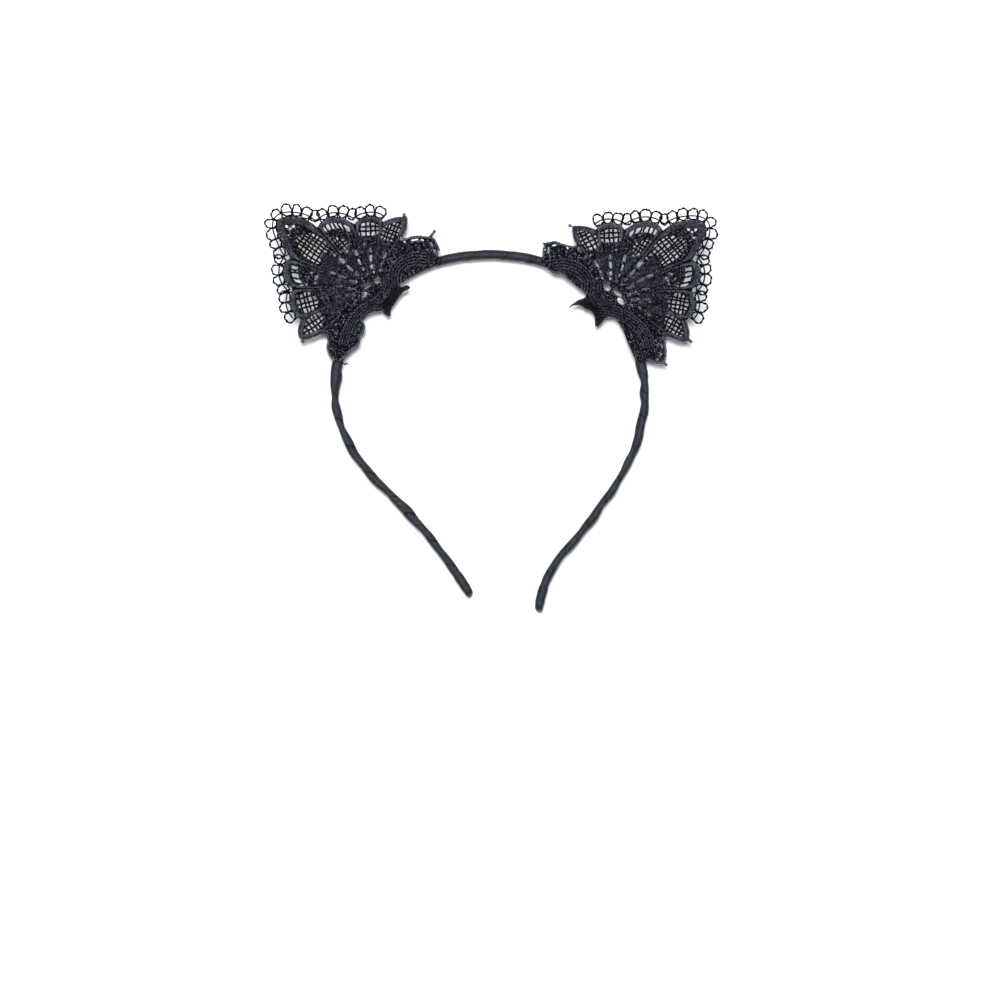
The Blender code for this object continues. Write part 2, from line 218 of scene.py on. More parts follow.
def left_of(line):
    """Unit normals on the left of a line in the lace's plane."""
    tangent = np.gradient(line, axis=0)
    return quarter_turn(tangent / np.linalg.norm(tangent, axis=1)[:, None])


def squared(angle, power):
    """Cosine and sine, pushed out from a round section towards a square one."""
    return [np.sign(v) * np.abs(v) ** power for v in (np.cos(angle), np.sin(angle))]


def run_along(line):
    """The distance along a line at each of its points."""
    return np.concatenate([[0], np.cumsum(np.linalg.norm(np.diff(line, axis=0), axis=1))])


class Threads:
    """Collects round threads as tubes, with their run along the thread as an attribute."""

    def __init__(self):
        self.verts, self.faces, self.run, self.off = [], [], [], []

    def tube(self, points, radius, sides=7, closed=False):
        """Adds one round thread along the points, with rounded ends unless it is closed."""
        p = np.asarray(points, float)
        n = len(p)
        r = np.broadcast_to(np.asarray(radius, float), (n,))
        tangent = np.roll(p, -1, 0) - np.roll(p, 1, 0) if closed else np.gradient(p, axis=0)
        tangent /= np.linalg.norm(tangent, axis=1)[:, None] + 1e-9
        across = np.cross(tangent, np.broadcast_to((0.0, -1.0, 0.0), p.shape))
        across /= np.linalg.norm(across, axis=1)[:, None] + 1e-9
        up = np.cross(across, tangent)
        angle = np.arange(sides) / sides * 2 * np.pi
        c, s = np.cos(angle)[None, :, None], np.sin(angle)[None, :, None]
        ring = c * across[:, None] + s * up[:, None]
        start = len(self.verts)
        run = run_along(p)
        self.verts += (p[:, None] + r[:, None, None] * ring).reshape(-1, 3).tolist()
        self.run += np.repeat(run, sides).tolist()
        self.off += np.tile(np.arange(sides) / sides, n).tolist()
        self.faces += grid_faces(n, sides, start, wrap=True, loop=closed)
        ends = () if closed else ((0, -1), (n - 1, 1))
        for end, way in ends:
            tip, base = len(self.verts), start + end * sides
            self.verts.append((p[end] + way * 0.6 * r[end] * tangent[end]).tolist())
            self.run.append(float(run[end]))
            self.off.append(0.0)
            for k in range(sides):
                pair = [base + k, base + (k + 1) % sides]
                self.faces.append([*pair[::way], tip])

    def make(self, name):
        return mesh_object(name, self.verts, self.faces, {"run": self.run, "off": self.off})


# --- materials


class Material:
    """A material, with short ways to add nodes. Values are numbers or other nodes' outputs."""

    def __init__(self, name):
        self.made = bpy.data.materials.new(name)
        self.made.use_nodes = True
        self.nodes = self.made.node_tree.nodes
        self.shader = self.nodes["Principled BSDF"]

    def join(self, value, socket):
        """Links another node's output to a socket, or sets the socket to a number or colour."""
        if isinstance(value, bpy.types.NodeSocket):
            self.made.node_tree.links.new(value, socket)
        else:
            socket.default_value = value

    def look(self, inputs):
        """Sets the shader's inputs by name."""
        for name, value in inputs.items():
            self.join(value, self.shader.inputs[name])

    def node(self, kind, output, **inputs):
        """A new node's output, with its inputs joined by name."""
        node = self.nodes.new(kind)
        for name, value in inputs.items():
            self.join(value, node.inputs[name])
        return node.outputs[output]

    def maths(self, operation, *values):
        """One calculation, such as ADD, on the values."""
        node = self.nodes.new("ShaderNodeMath")
        node.operation = operation
        for value, socket in zip(values, node.inputs):
            self.join(value, socket)
        return node.outputs[0]

    def scaled(self, value, factor, added=0.0):
        """The value times the factor, plus what is added."""
        return self.maths("MULTIPLY_ADD", value, factor, added)

    def attribute(self, name):
        node = self.nodes.new("ShaderNodeAttribute")
        node.attribute_name = name
        return node.outputs["Fac"]

    def place(self):
        return self.node("ShaderNodeTexCoord", "Object")

    def noise(self, place, scale, detail=2.0, roughness=0.5):
        return self.node(
            "ShaderNodeTexNoise", "Fac", Vector=place, Scale=scale, Detail=detail, Roughness=roughness
        )

    def stripes(self, value, period):
        """0 to 1 ridges with that period."""
        return self.maths("ABSOLUTE", self.maths("SINE", self.scaled(value, math.pi / period)))

    def mix(self, factor, first, second):
        return self.node("ShaderNodeMix", "Result", Factor=factor, A=first, B=second)

    def ramp(self, value, stops):
        node = self.nodes.new("ShaderNodeValToRGB")
        while len(node.color_ramp.elements) < len(stops):
            node.color_ramp.elements.new(0.5)
        for element, (place, *colour) in zip(node.color_ramp.elements, stops):
            element.position = place
            element.color = (*colour, 1)
        self.join(value, node.inputs["Fac"])
        return node.outputs["Color"]

    def bump(self, height, strength, distance):
        return self.node("ShaderNodeBump", "Normal", Height=height, Strength=strength, Distance=distance)


def lace_material():
    """Embroidery thread: satin stitches laid across each cord, mixed short stitches on the ground,
    and painted shade in the furrows between them, with painted light on the raised stitches."""
    lace = Material("black guipure lace")
    place, kind = lace.place(), lace.attribute("kind")
    wander = lace.noise(place, 900)
    slant = lace.scaled(lace.attribute("off"), 0.35, lace.attribute("run"))
    satin = lace.stripes(lace.scaled(wander, 0.5, slant), 0.42)
    cells = lace.node("ShaderNodeTexVoronoi", "Distance", Vector=place, Scale=1450)
    fleck = lace.scaled(lace.noise(place, 1500, 1, 0.4), 4.6, -1.9)
    filled = lace.scaled(lace.scaled(cells, -1.5, 1.1), 0.45, lace.scaled(fleck, 0.62))
    plain = lace.scaled(wander, 0.62, lace.scaled(satin, 0.22, 0.08))
    ground = lace.scaled(filled, 0.74, 0.05)
    # Painted light and shade: the level makes the colour darker in the furrows and lighter on raised
    # stitches.
    shade = lace.scaled(lace.attribute("level"), 0.75, lace.mix(kind, plain, ground))
    shade = lace.scaled(lace.noise(place, 210), 0.25, shade)
    stops = (
        (0.08, 0.0003, 0.0003, 0.0006), (0.3, 0.0033, 0.0033, 0.0050),
        (0.55, 0.0295, 0.0295, 0.0405), (0.85, 0.14, 0.14, 0.178),
    )
    lace.look({
        "Base Color": lace.ramp(lace.maths("ADD", shade, -0.5), stops),
        "Roughness": 0.62,
        "Specular IOR Level": 0.04,
        "Normal": lace.bump(lace.mix(kind, satin, filled), 0.8, 0.0003),
    })
    return lace.made


def thread_material(name, ply):
    """Two-ply thread, with the plies' ridges winding round it."""
    thread = Material(name)
    wound = thread.scaled(thread.attribute("off"), ply, thread.attribute("run"))
    ridges = thread.stripes(wound, ply)
    grain = thread.noise(thread.place(), 2200)
    shade = thread.scaled(grain, 0.5, thread.scaled(ridges, 0.5))
    stops = ((0.1, 0.0003, 0.0003, 0.0005), (0.6, 0.0014, 0.0014, 0.0022), (1.0, 0.009, 0.009, 0.012))
    thread.look({
        "Base Color": thread.ramp(shade, stops),
        "Roughness": thread.scaled(grain, 0.2, 0.6),
        "Specular IOR Level": 0.08,
        "Normal": thread.bump(ridges, 0.6, 0.00012),
    })
    return thread.made


def ribbon_material():
    """Satin ribbon: fine warp threads along it, faint ribs across, and soft drawn creases,
    with painted shade on its narrow sides and a painted shadow at each turn's edge.
    """
    satin = Material("black satin ribbon")
    run, off = satin.attribute("run"), satin.attribute("off")
    plane = satin.node("ShaderNodeCombineXYZ", "Vector", X=satin.scaled(run, 0.16), Y=off)
    creases = satin.noise(plane, 0.8, 3, 0.55)
    slubs = satin.noise(satin.place(), 1500)
    fine = satin.scaled(satin.stripes(run, 0.34), 0.4, satin.stripes(off, 0.16))
    height = satin.scaled(slubs, 0.10, satin.scaled(fine, 0.10, creases))
    # Painted shade along the ribbon's long edges, within 0.4 mm of each.
    from_middle = satin.maths("ABSOLUTE", satin.maths("SUBTRACT", off, RIBBON_WIDTH / 2))
    long_edge_shade = satin.maths("GREATER_THAN", from_middle, RIBBON_WIDTH / 2 - 0.4)
    tone = satin.scaled(creases, 0.8, satin.scaled(fine, 0.16))
    tone = satin.maths("ADD", satin.scaled(long_edge_shade, -0.25, tone), 0.07)
    # Painted shade on the winding's narrow sides and a painted shadow at each turn's edge, from the
    # shade attribute.
    tone = satin.scaled(satin.attribute("shade"), -0.45, tone)
    stops = (
        (0.05, 0.0006, 0.0008, 0.0012), (0.3, 0.0024, 0.0030, 0.0048),
        (0.52, 0.0080, 0.0100, 0.0150), (0.8, 0.026, 0.033, 0.049),
    )
    satin.look({
        "Base Color": satin.ramp(tone, stops),
        "Roughness": satin.scaled(slubs, 0.16, 0.42),
        "Specular IOR Level": 0.2,
        "Anisotropic": 0.5,
        "Normal": satin.bump(height, 0.5, 0.00035),
    })
    return satin.made


def steel_material():
    """Cold-rolled strip, brushed along its length."""
    steel = Material("spring steel")
    grain = steel.noise(steel.place(), 1200, 3)
    steel.look({
        "Base Color": steel.ramp(grain, ((0.3, 0.30, 0.30, 0.32), (0.7, 0.50, 0.50, 0.52))),
        "Metallic": 1.0,
        "Roughness": steel.scaled(grain, 0.2, 0.3),
    })
    return steel.made


def matte_material(name, brightness):
    """Plain paint with no gloss, still open to more nodes."""
    matte = Material(name)
    matte.look({"Base Color": (brightness,) * 3 + (1,), "Roughness": 0.9, "Specular IOR Level": 0.0})
    return matte


# --- the ribbon

# Where each leg's ribbon is drawn in or stands out: distance along the band, how much is lost on
# the side nearer the head and on the outer side, and over what length.
PINCHES = {
    "left": (
        (91.5, -0.7, 0.3, 3.2), (100.5, 0.4, 0.85, 3.0), (114, 0.5, 0.55, 4.0), (131, 0.3, 0.45, 5.5),
        (148, 0.4, 0.25, 4.5), (160, -0.25, -0.3, 3.5), (170, 0.3, 0.5, 4.0), (182, 0.35, 0.2, 4.5),
    ),
    "right": (
        (94, 0.5, 0.5, 2.5), (99, -0.3, 0.25, 2.2), (103.5, 0.5, 0.15, 1.8), (114, -0.2, 0.5, 4.5),
        (125, 0.75, 0.05, 4.0), (137, 0.55, 0.45, 6.5), (151, 0.2, 0.7, 4.5), (166, 0.45, 0.3, 4.0),
        (180, 0.2, 0.4, 5.0),
    ),
}
# The winding: the way along the band in each turn, rows of points in each turn, where they lie over
# the ribbon's width, and the run of its weave in each turn.
TURN_PITCH = 13.0
ROWS_PER_TURN = 48
ACROSS = np.concatenate([np.linspace(0, 0.08, 3), np.linspace(0.14, 1, 13)])
WEAVE_PER_TURN = 21.0
# How high a turn stands, by its share of the way to the next turn's start.
LIFT = (
    (0, 0.05, 0.12, 0.35, 0.60, 0.85, 1.0, 1.2, 3.0),
    (0.30, 0.38, 0.54, 0.98, 0.88, 0.44, 0.06, -0.04, -0.06),
)
LIFT_BASE = 0.10
# How much of that lift there is, and how much of it shows on the narrow sides, along the band.
SLACK = ((0, 18, 26, 80, 92, 170, 191, 196), (0.30, 0.34, 0.30, 0.30, 1.0, 0.85, 0.5, 0.0))
PROUD = ((0, 86, 96, 203), (1.0, 1.0, 0.45, 0.45))
# The wound section: half the thickness, half the depth, and how square it is.
SECTION_HALF_THICKNESS = 1.62
SECTION_HALF_DEPTH = 2.95
SECTION_POWER = 0.82

# The folded end: distance along the band, half thickness, half depth.
FOLD_STATIONS = (
    (194.0, 1.75, 3.10), (194.6, 1.98, 3.42), (196.5, 2.06, 3.5), (199.0, 2.0, 3.5),
    (201.2, 2.02, 3.5), (201.9, 1.86, 3.44), (202.6, 1.84, 3.42), (203.7, 1.72, 3.30),
    (204.4, 1.45, 2.95), (204.9, 1.0, 2.25), (205.1, 0.4, 1.2),
)
FOLD_POWER = 0.75
FOLD_SIDES = 36


def turn_start(turn):
    """Where along the band a turn of ribbon starts. The turns are not quite even."""
    return TURN_PITCH * turn + 1.3 * np.sin(1.9 * turn + 0.6) + 0.9 * np.sin(3.1 * turn + 2.0)


def ribbon(name, side, first, last):
    """The ribbon's turns from first to last as one wound strip, each turn lying over the last."""
    rows, columns = int(round((last - first) * ROWS_PER_TURN)) + 1, len(ACROSS)
    turn = np.linspace(first, last, rows)[:, None]
    start = turn_start(turn)
    low = np.maximum(start, -RIBBON_END)
    high = np.minimum(start + RIBBON_AXIAL, RIBBON_END)
    sigma = low + (high - low) * ACROSS
    share = (sigma - start) / (turn_start(turn + 1) - start)
    place = np.abs(sigma)
    slack = np.interp(place, *SLACK)
    uneven = 1 + 0.34 * np.sin(2.3 * turn + 0.4) * np.clip(slack, 0, 1)
    lift = LIFT_BASE + (np.interp(share, *LIFT) - LIFT_BASE) * slack * uneven
    clear = LIFT_BASE + (0.34 - 0.2 * share) * 0.8
    lift = np.where(share < 1, np.maximum(lift, clear), lift)
    c, s = squared(2 * np.pi * turn + 0.5 * np.pi, SECTION_POWER)
    near = np.full(place.shape, SECTION_HALF_THICKNESS)
    far = near.copy()
    for where, near_loss, far_loss, reach in PINCHES[side]:
        fall = np.exp(-(((place - where) / reach) ** 2))
        near -= near_loss * fall
        far -= far_loss * fall
    width = (far + near) / 2 + (far - near) / 2 * c
    proud = np.interp(place, *PROUD) * lift
    layers = []
    for offset in (RIBBON_SHEET, -RIBBON_SHEET):
        x, z = band(sigma, (width + proud + offset) * c)
        y = (SECTION_HALF_DEPTH + 0.7 * lift + offset) * s
        layers.append(stacked(x, y, z))
    under = rows * columns
    end = under - columns
    faces = grid_faces(rows, columns, flip=True) + grid_faces(rows, columns, under)
    # The strip's first and last row and its two long sides join the front layer to the back one.
    edges = (
        (range(columns - 1), 1, False),
        (range(end, under - 1), 1, True),
        (range(0, end, columns), columns, True),
        (range(columns - 1, under - 1, columns), columns, False),
    )
    for starts, step, flipped in edges:
        for a in starts:
            quad = [a, a + step, under + a + step, under + a]
            faces.append(quad[::-1] if flipped else quad)
    # Painted shade for the colour: darker on the section's narrow sides, with a painted shadow just past
    # where the next turn's edge lies on this one and on each turn's own edge.
    edge_shadow = np.exp(-(((share - 1.03) / 0.05) ** 2)) + 0.5 * np.exp(-((share / 0.02) ** 2))
    values = {
        "run": np.repeat(turn * WEAVE_PER_TURN, columns),
        "off": ((sigma - start) / RIBBON_AXIAL * RIBBON_WIDTH).ravel(),
        "shade": (2.0 * np.abs(c) ** 4 + 0.7 * edge_shadow).ravel(),
    }
    values = {key: np.tile(array, 2) for key, array in values.items()}
    return mesh_object(name, np.vstack(layers), faces, values)


def tip_fold(side):
    """The ribbon's end, folded over the tip of the strip and stuck down as a small flat pad."""
    angle = np.arange(FOLD_SIDES) / FOLD_SIDES * 2 * np.pi
    c, s = squared(angle, FOLD_POWER)
    line = smooth_line(FOLD_STATIONS, 0.35)
    along, thick, wide = line.T[:, :, None]
    x, z = band(SIDE[side] * (along + 0.35 * np.sin(angle + 0.6)), thick * c)
    y = wide * s
    faces = grid_faces(len(line), FOLD_SIDES, wrap=True, flip=side == "left")
    for row, kept_way in ((0, "left"), (len(line) - 1, "right")):
        ring = [row * FOLD_SIDES + k for k in range(FOLD_SIDES)]
        faces.append(ring if side == kept_way else ring[::-1])
    # Painted shade on the folded end's narrow sides.
    values = {
        "run": y.ravel(),
        "off": np.repeat(along - 193.0, FOLD_SIDES),
        "shade": np.tile(1.6 * np.abs(c) ** 4, len(line)),
    }
    return mesh_object(f"{side}_folded_tip", stacked(x, y, z), faces, values)


# --- the lace's plan

# Everything in the fan is drawn by angle from the ear's axis and distance from its centre.
CROWN_PETAL = (
    (67.5, 27.9), (70.2, 29), (73, 30.1), (75.7, 31.1), (78.5, 32), (81, 32.7), (83.2, 33.4), (85, 32.2),
    (86.4, 30.9), (87.8, 29.2), (88.6, 27.5), (89, 25.6),
)
SECOND_PETAL = (
    (41.3, 27), (45, 28.3), (50, 29.1), (54.5, 29.4), (60, 29.5), (64.5, 28.8), (67.5, 27.8),
)
FIRST_PETAL = (
    (13, 33.3), (16, 34.1), (20.5, 34.2), (25.5, 33.5), (30.5, 32.1), (35, 30.3), (39, 28.2), (41.3, 27),
)
POINT_PETAL = (
    (-16.2, 35.9), (-13.2, 38.4), (-10.4, 41.1), (-7.6, 43.7), (-5.4, 45.7), (-3.4, 47.2), (-0.7, 48.2),
    (2, 47.3), (4.8, 45.3), (7.6, 42.6), (10, 40), (11.8, 36.8), (13, 33.3),
)
FIRST_FAR_PETAL = (
    (-37.3, 33.1), (-33.5, 35.5), (-30, 36.8), (-26, 37.5), (-22.5, 37.6), (-19, 37.1), (-16.2, 35.9),
)
SECOND_FAR_PETAL = (
    (-61, 32.9), (-59, 33.4), (-55, 34.3), (-51, 34.8), (-47, 34.7), (-43, 34), (-37.3, 33.1),
)
FAR_PETAL = (
    (-82.5, 28.2), (-79.6, 29.5), (-78.4, 31.2), (-77.6, 32.6), (-76.6, 34.2), (-75.3, 35.6),
    (-73.6, 36.9), (-71.8, 37.5), (-69.7, 37.1), (-67.3, 36.3), (-65, 35.2), (-63, 34), (-61, 32.9),
)
PETALS = (
    CROWN_PETAL, SECOND_PETAL, FIRST_PETAL, POINT_PETAL, FIRST_FAR_PETAL, SECOND_FAR_PETAL, FAR_PETAL,
)
# The satin cord round each of the five inner petals: half width in the middle, distance in from
# the edge.
RIMS = ((1.15, 1.1), (1.3, 1.25), (1.75, 1.7), (1.4, 1.35), (1.15, 1.1))
# Windows filled with net: outline, spacing of the threads across and along (0 for none).
NETS = (
    (((82.5, 31), (84.8, 28.6), (84.8, 25.5), (83.3, 23.2), (83.3, 21.4), (77.5, 20.5), (70, 20.6),
      (67.5, 21.8), (67.6, 24.2), (70.2, 26.4), (74.5, 28.6), (79, 30.4)), 1.75, 1.9),
    (((41.8, 22.6), (42.2, 24.9), (44.8, 26.2), (50.5, 26.8), (57.5, 26.8), (63, 26), (65.6, 24.8),
      (65.3, 23), (62.5, 21.8), (54, 21.4), (47, 21.6)), 1.95, 1.75),
    (((15.8, 31.9), (20, 31.8), (25, 30.9), (30, 29.2), (35.5, 26.7), (35.2, 24.6), (30, 26.8),
      (25, 28.3), (20, 29.3), (16.3, 29.6)), 1.75, 0),
    (((13.3, 18.8), (13.6, 22.5), (14, 26.9), (19, 26), (24, 23.6), (27.8, 21.8), (25.5, 19.2),
      (19, 18.4)), 1.6, 1.75),
    (((7, 21.2), (9.4, 25), (9.5, 28.2), (8.3, 31.2), (6.6, 33.6), (2.5, 35.6), (-2.6, 37),
      (-6, 35.6), (-8.5, 33), (-10.4, 30.5), (-11.3, 27), (-11.2, 23), (-7.5, 23.6), (-2.5, 24.8),
      (3, 23.6)), 1.55, 2.05),
    (((-16.4, 33.4), (-20, 34.3), (-25, 33.9), (-30, 32.6), (-35.6, 30), (-35.3, 27.7),
      (-30, 30), (-25, 31.1), (-20, 31.8), (-16.9, 31.6)), 1.95, 0),
    (((-40.5, 26), (-41, 28.3), (-44, 30.9), (-48, 31.9), (-53.5, 31.3), (-57.6, 29.8),
      (-57.3, 26.8), (-55.5, 24), (-50, 23.2), (-45, 23.8)), 1.9, 1.75),
    (((-62.4, 24.2), (-62.4, 28.3), (-64.7, 31.4), (-67.2, 33.2), (-70, 34.3), (-72.4, 34.1),
      (-74.4, 31.8), (-74.9, 28.8), (-73, 25.6), (-68, 24.4)), 1.85, 1.85),
)
# Slots between the petals' stems: (angle, distance, length, width).
SLOTS = (
    (82.5, 14.5, 3.2, 0.8), (84.5, 10.4, 1.5, 0.5), (90.5, 7.9, 1.2, 0.5),
    (57, 15.2, 2, 0.6), (58.3, 11.7, 2.6, 0.9), (62, 8.1, 1.5, 1), (70.5, 6, 0.8, 0.5),
    (33.6, 15.1, 2.4, 1), (32.8, 10.9, 2.7, 0.5), (34.5, 7.5, 1.3, 0.45), (43, 5, 0.6, 0.5),
    (8.2, 16, 3, 1.3), (7.8, 11.3, 3.2, 0.65), (8, 7.2, 1.9, 0.6), (8, 4.5, 0.9, 0.4),
    (-15, 17.1, 3.3, 0.8), (-15.7, 12.2, 3.4, 0.6), (-19.3, 8, 1.9, 0.75), (-21, 6, 1, 0.7),
    (-34.6, 13.2, 3.5, 0.35), (-39.8, 9, 1.4, 0.35), (-48, 6.7, 0.8, 0.4),
    (-52.5, 14.5, 2.7, 0.7), (-56.7, 10.6, 1.8, 0.65), (-64.7, 8, 1.2, 0.5),
    (-72.5, 17.2, 2.6, 0.9), (-72.3, 12.8, 1.6, 0.6), (-78, 9, 1.3, 0.5),
)
# Raised leaves between those rows: (angle, how far out).
STEMS = ((71.5, 19.5), (46.5, 20.3), (21, 17.4), (-4, 23.6), (-25.5, 23), (-45, 22.2), (-63.5, 22.6))
# Small holes: (angle, distance, half length, half width).
PIN_HOLES = (
    (-0.5, 43.6, 0.75, 0.5), (-0.4, 41.8, 0.5, 0.5), (2, 41.3, 0.5, 0.75), (-4, 41.2, 0.75, 0.4),
    (6.7, 19.8, 0.5, 0.5), (22.8, 17.5, 0.4, 0.5), (10.5, 18.6, 0.35, 0.3), (-18, 24.7, 0.75, 0.7),
    (-17.8, 27.7, 0.9, 0.7), (-24.5, 22.8, 0.5, 0.5), (-27.6, 23.2, 0.45, 0.4), (-22, 25.4, 0.6, 0.35),
    (-31, 23.3, 0.5, 0.35), (-27, 26.5, 0.3, 0.3), (-34, 27, 0.5, 0.5), (89, 24, 0.6, 1),
    (-77.5, 25, 0.7, 0.35), (48, 18, 0.3, 0.4), (40, 19.3, 0.45, 0.5), (-38, 20.5, 0.3, 0.35),
    (66.6, 28.4, 0.3, 0.3), (39.9, 25.4, 0.5, 0.35), (-58.6, 31.3, 0.3, 0.4),
)
# Eyelets at the fan's centre: (along the axis, across it, half length, half width).
EYELETS = ((-1.25, 3.6, 1.4, 1.05), (0.8, -0.7, 2.05, 0.78), (-0.3, -4.7, 1.55, 0.85))

# The sewn lace of each ear, as (distance from the middle plane, height).
BODY = {
    "left": (
        (37, 8.6), (35.2, 8.8), (33.5, 9.5), (31.5, 9.7), (30, 9.9), (28, 9.6), (26.3, 9.4), (24.6, 9.2),
        (23.3, 8.3), (22.5, 7), (21.7, 5.4), (21.2, 4), (21.9, 2.9), (22, 1.2), (21.6, -0.8),
        (22.4, -2.7), (25, -3.1), (29, -5.1), (33, -7.2), (36, -9.2), (38.4, -11.2), (37.6, -12.1),
        (36, -11.4), (34.4, -11.5), (33.7, -12.4), (34.4, -13.2), (36, -13.9), (37.5, -15), (39, -16.8),
        (40.2, -18.8), (41.5, -20.5), (42.3, -22.5), (42.2, -24.4), (43.7, -24.3), (45.3, -23.2),
        (45.5, -22.3), (47.5, -22.4), (50, -22.8), (52.5, -24), (54.2, -25.4), (54, -26.4),
        (53.4, -27.6), (52.9, -29.3), (53.4, -31), (54.3, -32.5), (55.5, -33.2), (55, -34.6),
        (55.4, -36), (56.4, -37.4), (58, -38.6), (59.6, -39.9), (61.5, -42), (63.4, -43.7),
        (66.4, -43.5), (67.4, -42.7), (68.2, -41.6), (69.1, -39.8), (69.6, -38), (69.3, -36.3),
        (69, -34.8), (69.4, -33.2), (69.6, -31), (64, -22), (50, -6), (42, 1), (39.8, 6.6),
    ),
    "right": (
        (36.8, 5.8), (35.8, 5.3), (34, 5.6), (32, 6.2), (30.3, 6.6), (29.5, 7.2), (27.5, 7.5),
        (25.5, 7.1), (24, 6.8), (23.2, 5.6), (22.7, 4.2), (22.6, 2.5), (22.6, 0.6), (21.9, -1.4),
        (22.5, -3), (24.5, -4), (26, -5.3), (27.7, -6.4), (29.5, -6.5), (30.6, -6.5), (32.5, -8),
        (35, -9.8), (37, -11.6), (39.5, -13.4), (41.2, -15), (40.9, -16.4), (39.7, -17.2), (38, -17.5),
        (36.5, -18.5), (35, -19.5), (33.6, -21.1), (34.4, -21), (35.6, -20.1), (37.5, -19.9),
        (39, -20.1), (40.5, -21.2), (42.5, -22), (43.8, -23), (44.8, -24.7), (45, -27), (45.3, -29.1),
        (47.4, -28), (48.8, -26), (50, -25.2), (51.5, -24.9), (53.5, -25.4), (55.5, -27.7),
        (56.6, -29.8), (58, -33.5), (58.9, -36), (60.4, -39.3), (61.2, -41.2), (62.6, -43),
        (64.6, -44.2), (66.2, -43.9), (67.6, -43.5), (69, -43.9), (70.7, -44.8), (72.7, -44.9),
        (74.2, -44.6), (74.7, -43.7), (75.2, -42.4), (75.4, -41), (75.6, -39.5), (75.3, -37.5),
        (75.1, -35), (74.4, -33.3), (68, -24), (54, -9), (43, 1.5), (39.6, 4.4),
    ),
}
# Parts of those outlines edged with a twisted cord: first and last point.
EDGED = {"left": ((0, 13), (39, 52), (53, 61)), "right": ((0, 12), (16, 20), (55, 66))}
# Slots and eyes beside those cords: (x, z, half length, half width, direction in degrees).
EDGE_SLOTS = {
    "left": (
        (31.9, 7.95, 1.7, 0.36, -10), (28.6, 7.85, 0.8, 0.33, 20), (24.7, 6.1, 1.05, 0.42, 62),
        (23.4, 3.1, 0.95, 0.32, 88), (36.2, 7.2, 0.5, 0.35, 0), (67.2, -38.5, 0.75, 0.32, 58),
        (56.6, -29, 1.9, 0.8, -68), (61.2, -41, 0.6, 0.25, -45), (70.3, -30.8, 0.8, 0.3, -58),
        (44.3, -16, 1.3, 0.25, -36), (37.4, -6, 0.9, 0.2, -51), (41, 6.2, 0.6, 0.35, 0),
    ),
    "right": (
        (27.6, 5.65, 0.95, 0.36, 10), (25.2, 3.55, 1.35, 0.48, 85), (33.3, 4.5, 0.55, 0.3, -50),
        (23.7, 3.7, 0.5, 0.25, 85), (72.2, -32.6, 0.6, 0.5, -40), (74.3, -31.5, 1.1, 0.45, -40),
        (73, -34.1, 0.35, 0.3, 0), (73.4, -37.1, 1.3, 0.34, -78), (73, -41, 0.8, 0.42, 50),
        (71.5, -43, 0.7, 0.4, 40), (36.1, -6.2, 1.1, 0.2, -40), (70.5, -31.6, 0.4, 0.3, 0),
    ),
}
# The smooth leaf inside the hoop, laid in satin stitch with its two curved tips.
LEAF = {
    "left": (
        (37.8, -12.4), (36, -11.7), (34.5, -11.8), (34, -12.4), (34.6, -13), (36.1, -13.7),
        (37.7, -14.8), (39.2, -16.6), (40.4, -18.6), (41.7, -20.4), (42.5, -22.5), (42.5, -24.2),
        (43.6, -24.1), (45, -23.1), (45.2, -21), (45.4, -17.6), (43.6, -14.4), (40.8, -12.6),
    ),
    "right": (
        (40.6, -16.8), (38.2, -17.7), (36.6, -18.7), (35.1, -19.7), (34, -20.8), (35.6, -19.9),
        (37.5, -19.7), (39.1, -19.9), (40.6, -21), (42.6, -21.8), (44, -22.9), (45, -24.7), (45.2, -27),
        (45.5, -28.8), (47.2, -27.8), (48.6, -25.8), (48.4, -23), (46.4, -19.6), (43.4, -17.2),
    ),
}
# Ridged lines that follow the lobes, each as a first line, how far apart, and how many.
CONTOURS = {
    "left": (
        (((45.6, -17.6), (50.5, -18.2), (54.4, -20), (57.6, -22.8), (60.4, -26.8), (62.6, -31.2),
          (64.2, -36)), 1.15, 4),
        (((42.6, -12.6), (43, -7.6), (41.6, -3), (37.6, 0.8), (32, 2.6), (26.6, 2.2)), 1.3, 5),
    ),
    "right": (
        (((46.4, -19.6), (50.5, -20), (56, -21.4), (61, -24), (65.4, -27.6), (68.8, -32),
          (70.4, -37)), 1.15, 5),
        (((43.8, -16), (44.6, -11.4), (43.4, -6.6), (39.2, -2.6), (33, -0.4), (27, -0.6)), 1.3, 5),
    ),
}
# Knots at the points of the petals and lobes: (x, z, radius).
KNOTS = {
    "left": (
        (36.35, 18.5, 0.65), (36.2, 19.1, 0.45), (23.4, 11.5, 0.68), (79.8, -35.5, 0.62),
        (21.5, 3.9, 0.5),
    ),
    "right": (
        (34.3, 13.9, 0.68), (33.9, 14.2, 0.45), (85.9, -35.5, 0.62), (75.2, -45.3, 0.65), (23, 6.4, 0.5),
    ),
}
# Cords that run out to those knots, as points with their half widths.
SPURS = {
    "left": (
        ((25.2, 9.2, 0.75), (24.3, 10.4, 0.6), (23.4, 11.5, 0.5)),
        ((79.6, -34.2, 0.7), (79.8, -35.4, 0.5)),
    ),
    "right": (
        ((74.2, -44, 0.6), (74.8, -44.8, 0.5), (75.2, -45.3, 0.5)),
        ((85.2, -34.8, 0.6), (85.9, -35.5, 0.5)),
    ),
}
# The angles between one raised leaf and the next.
STEM_GAPS = (84.5, 58.5, 33.5, 8, -16, -36, -54.5, -73)
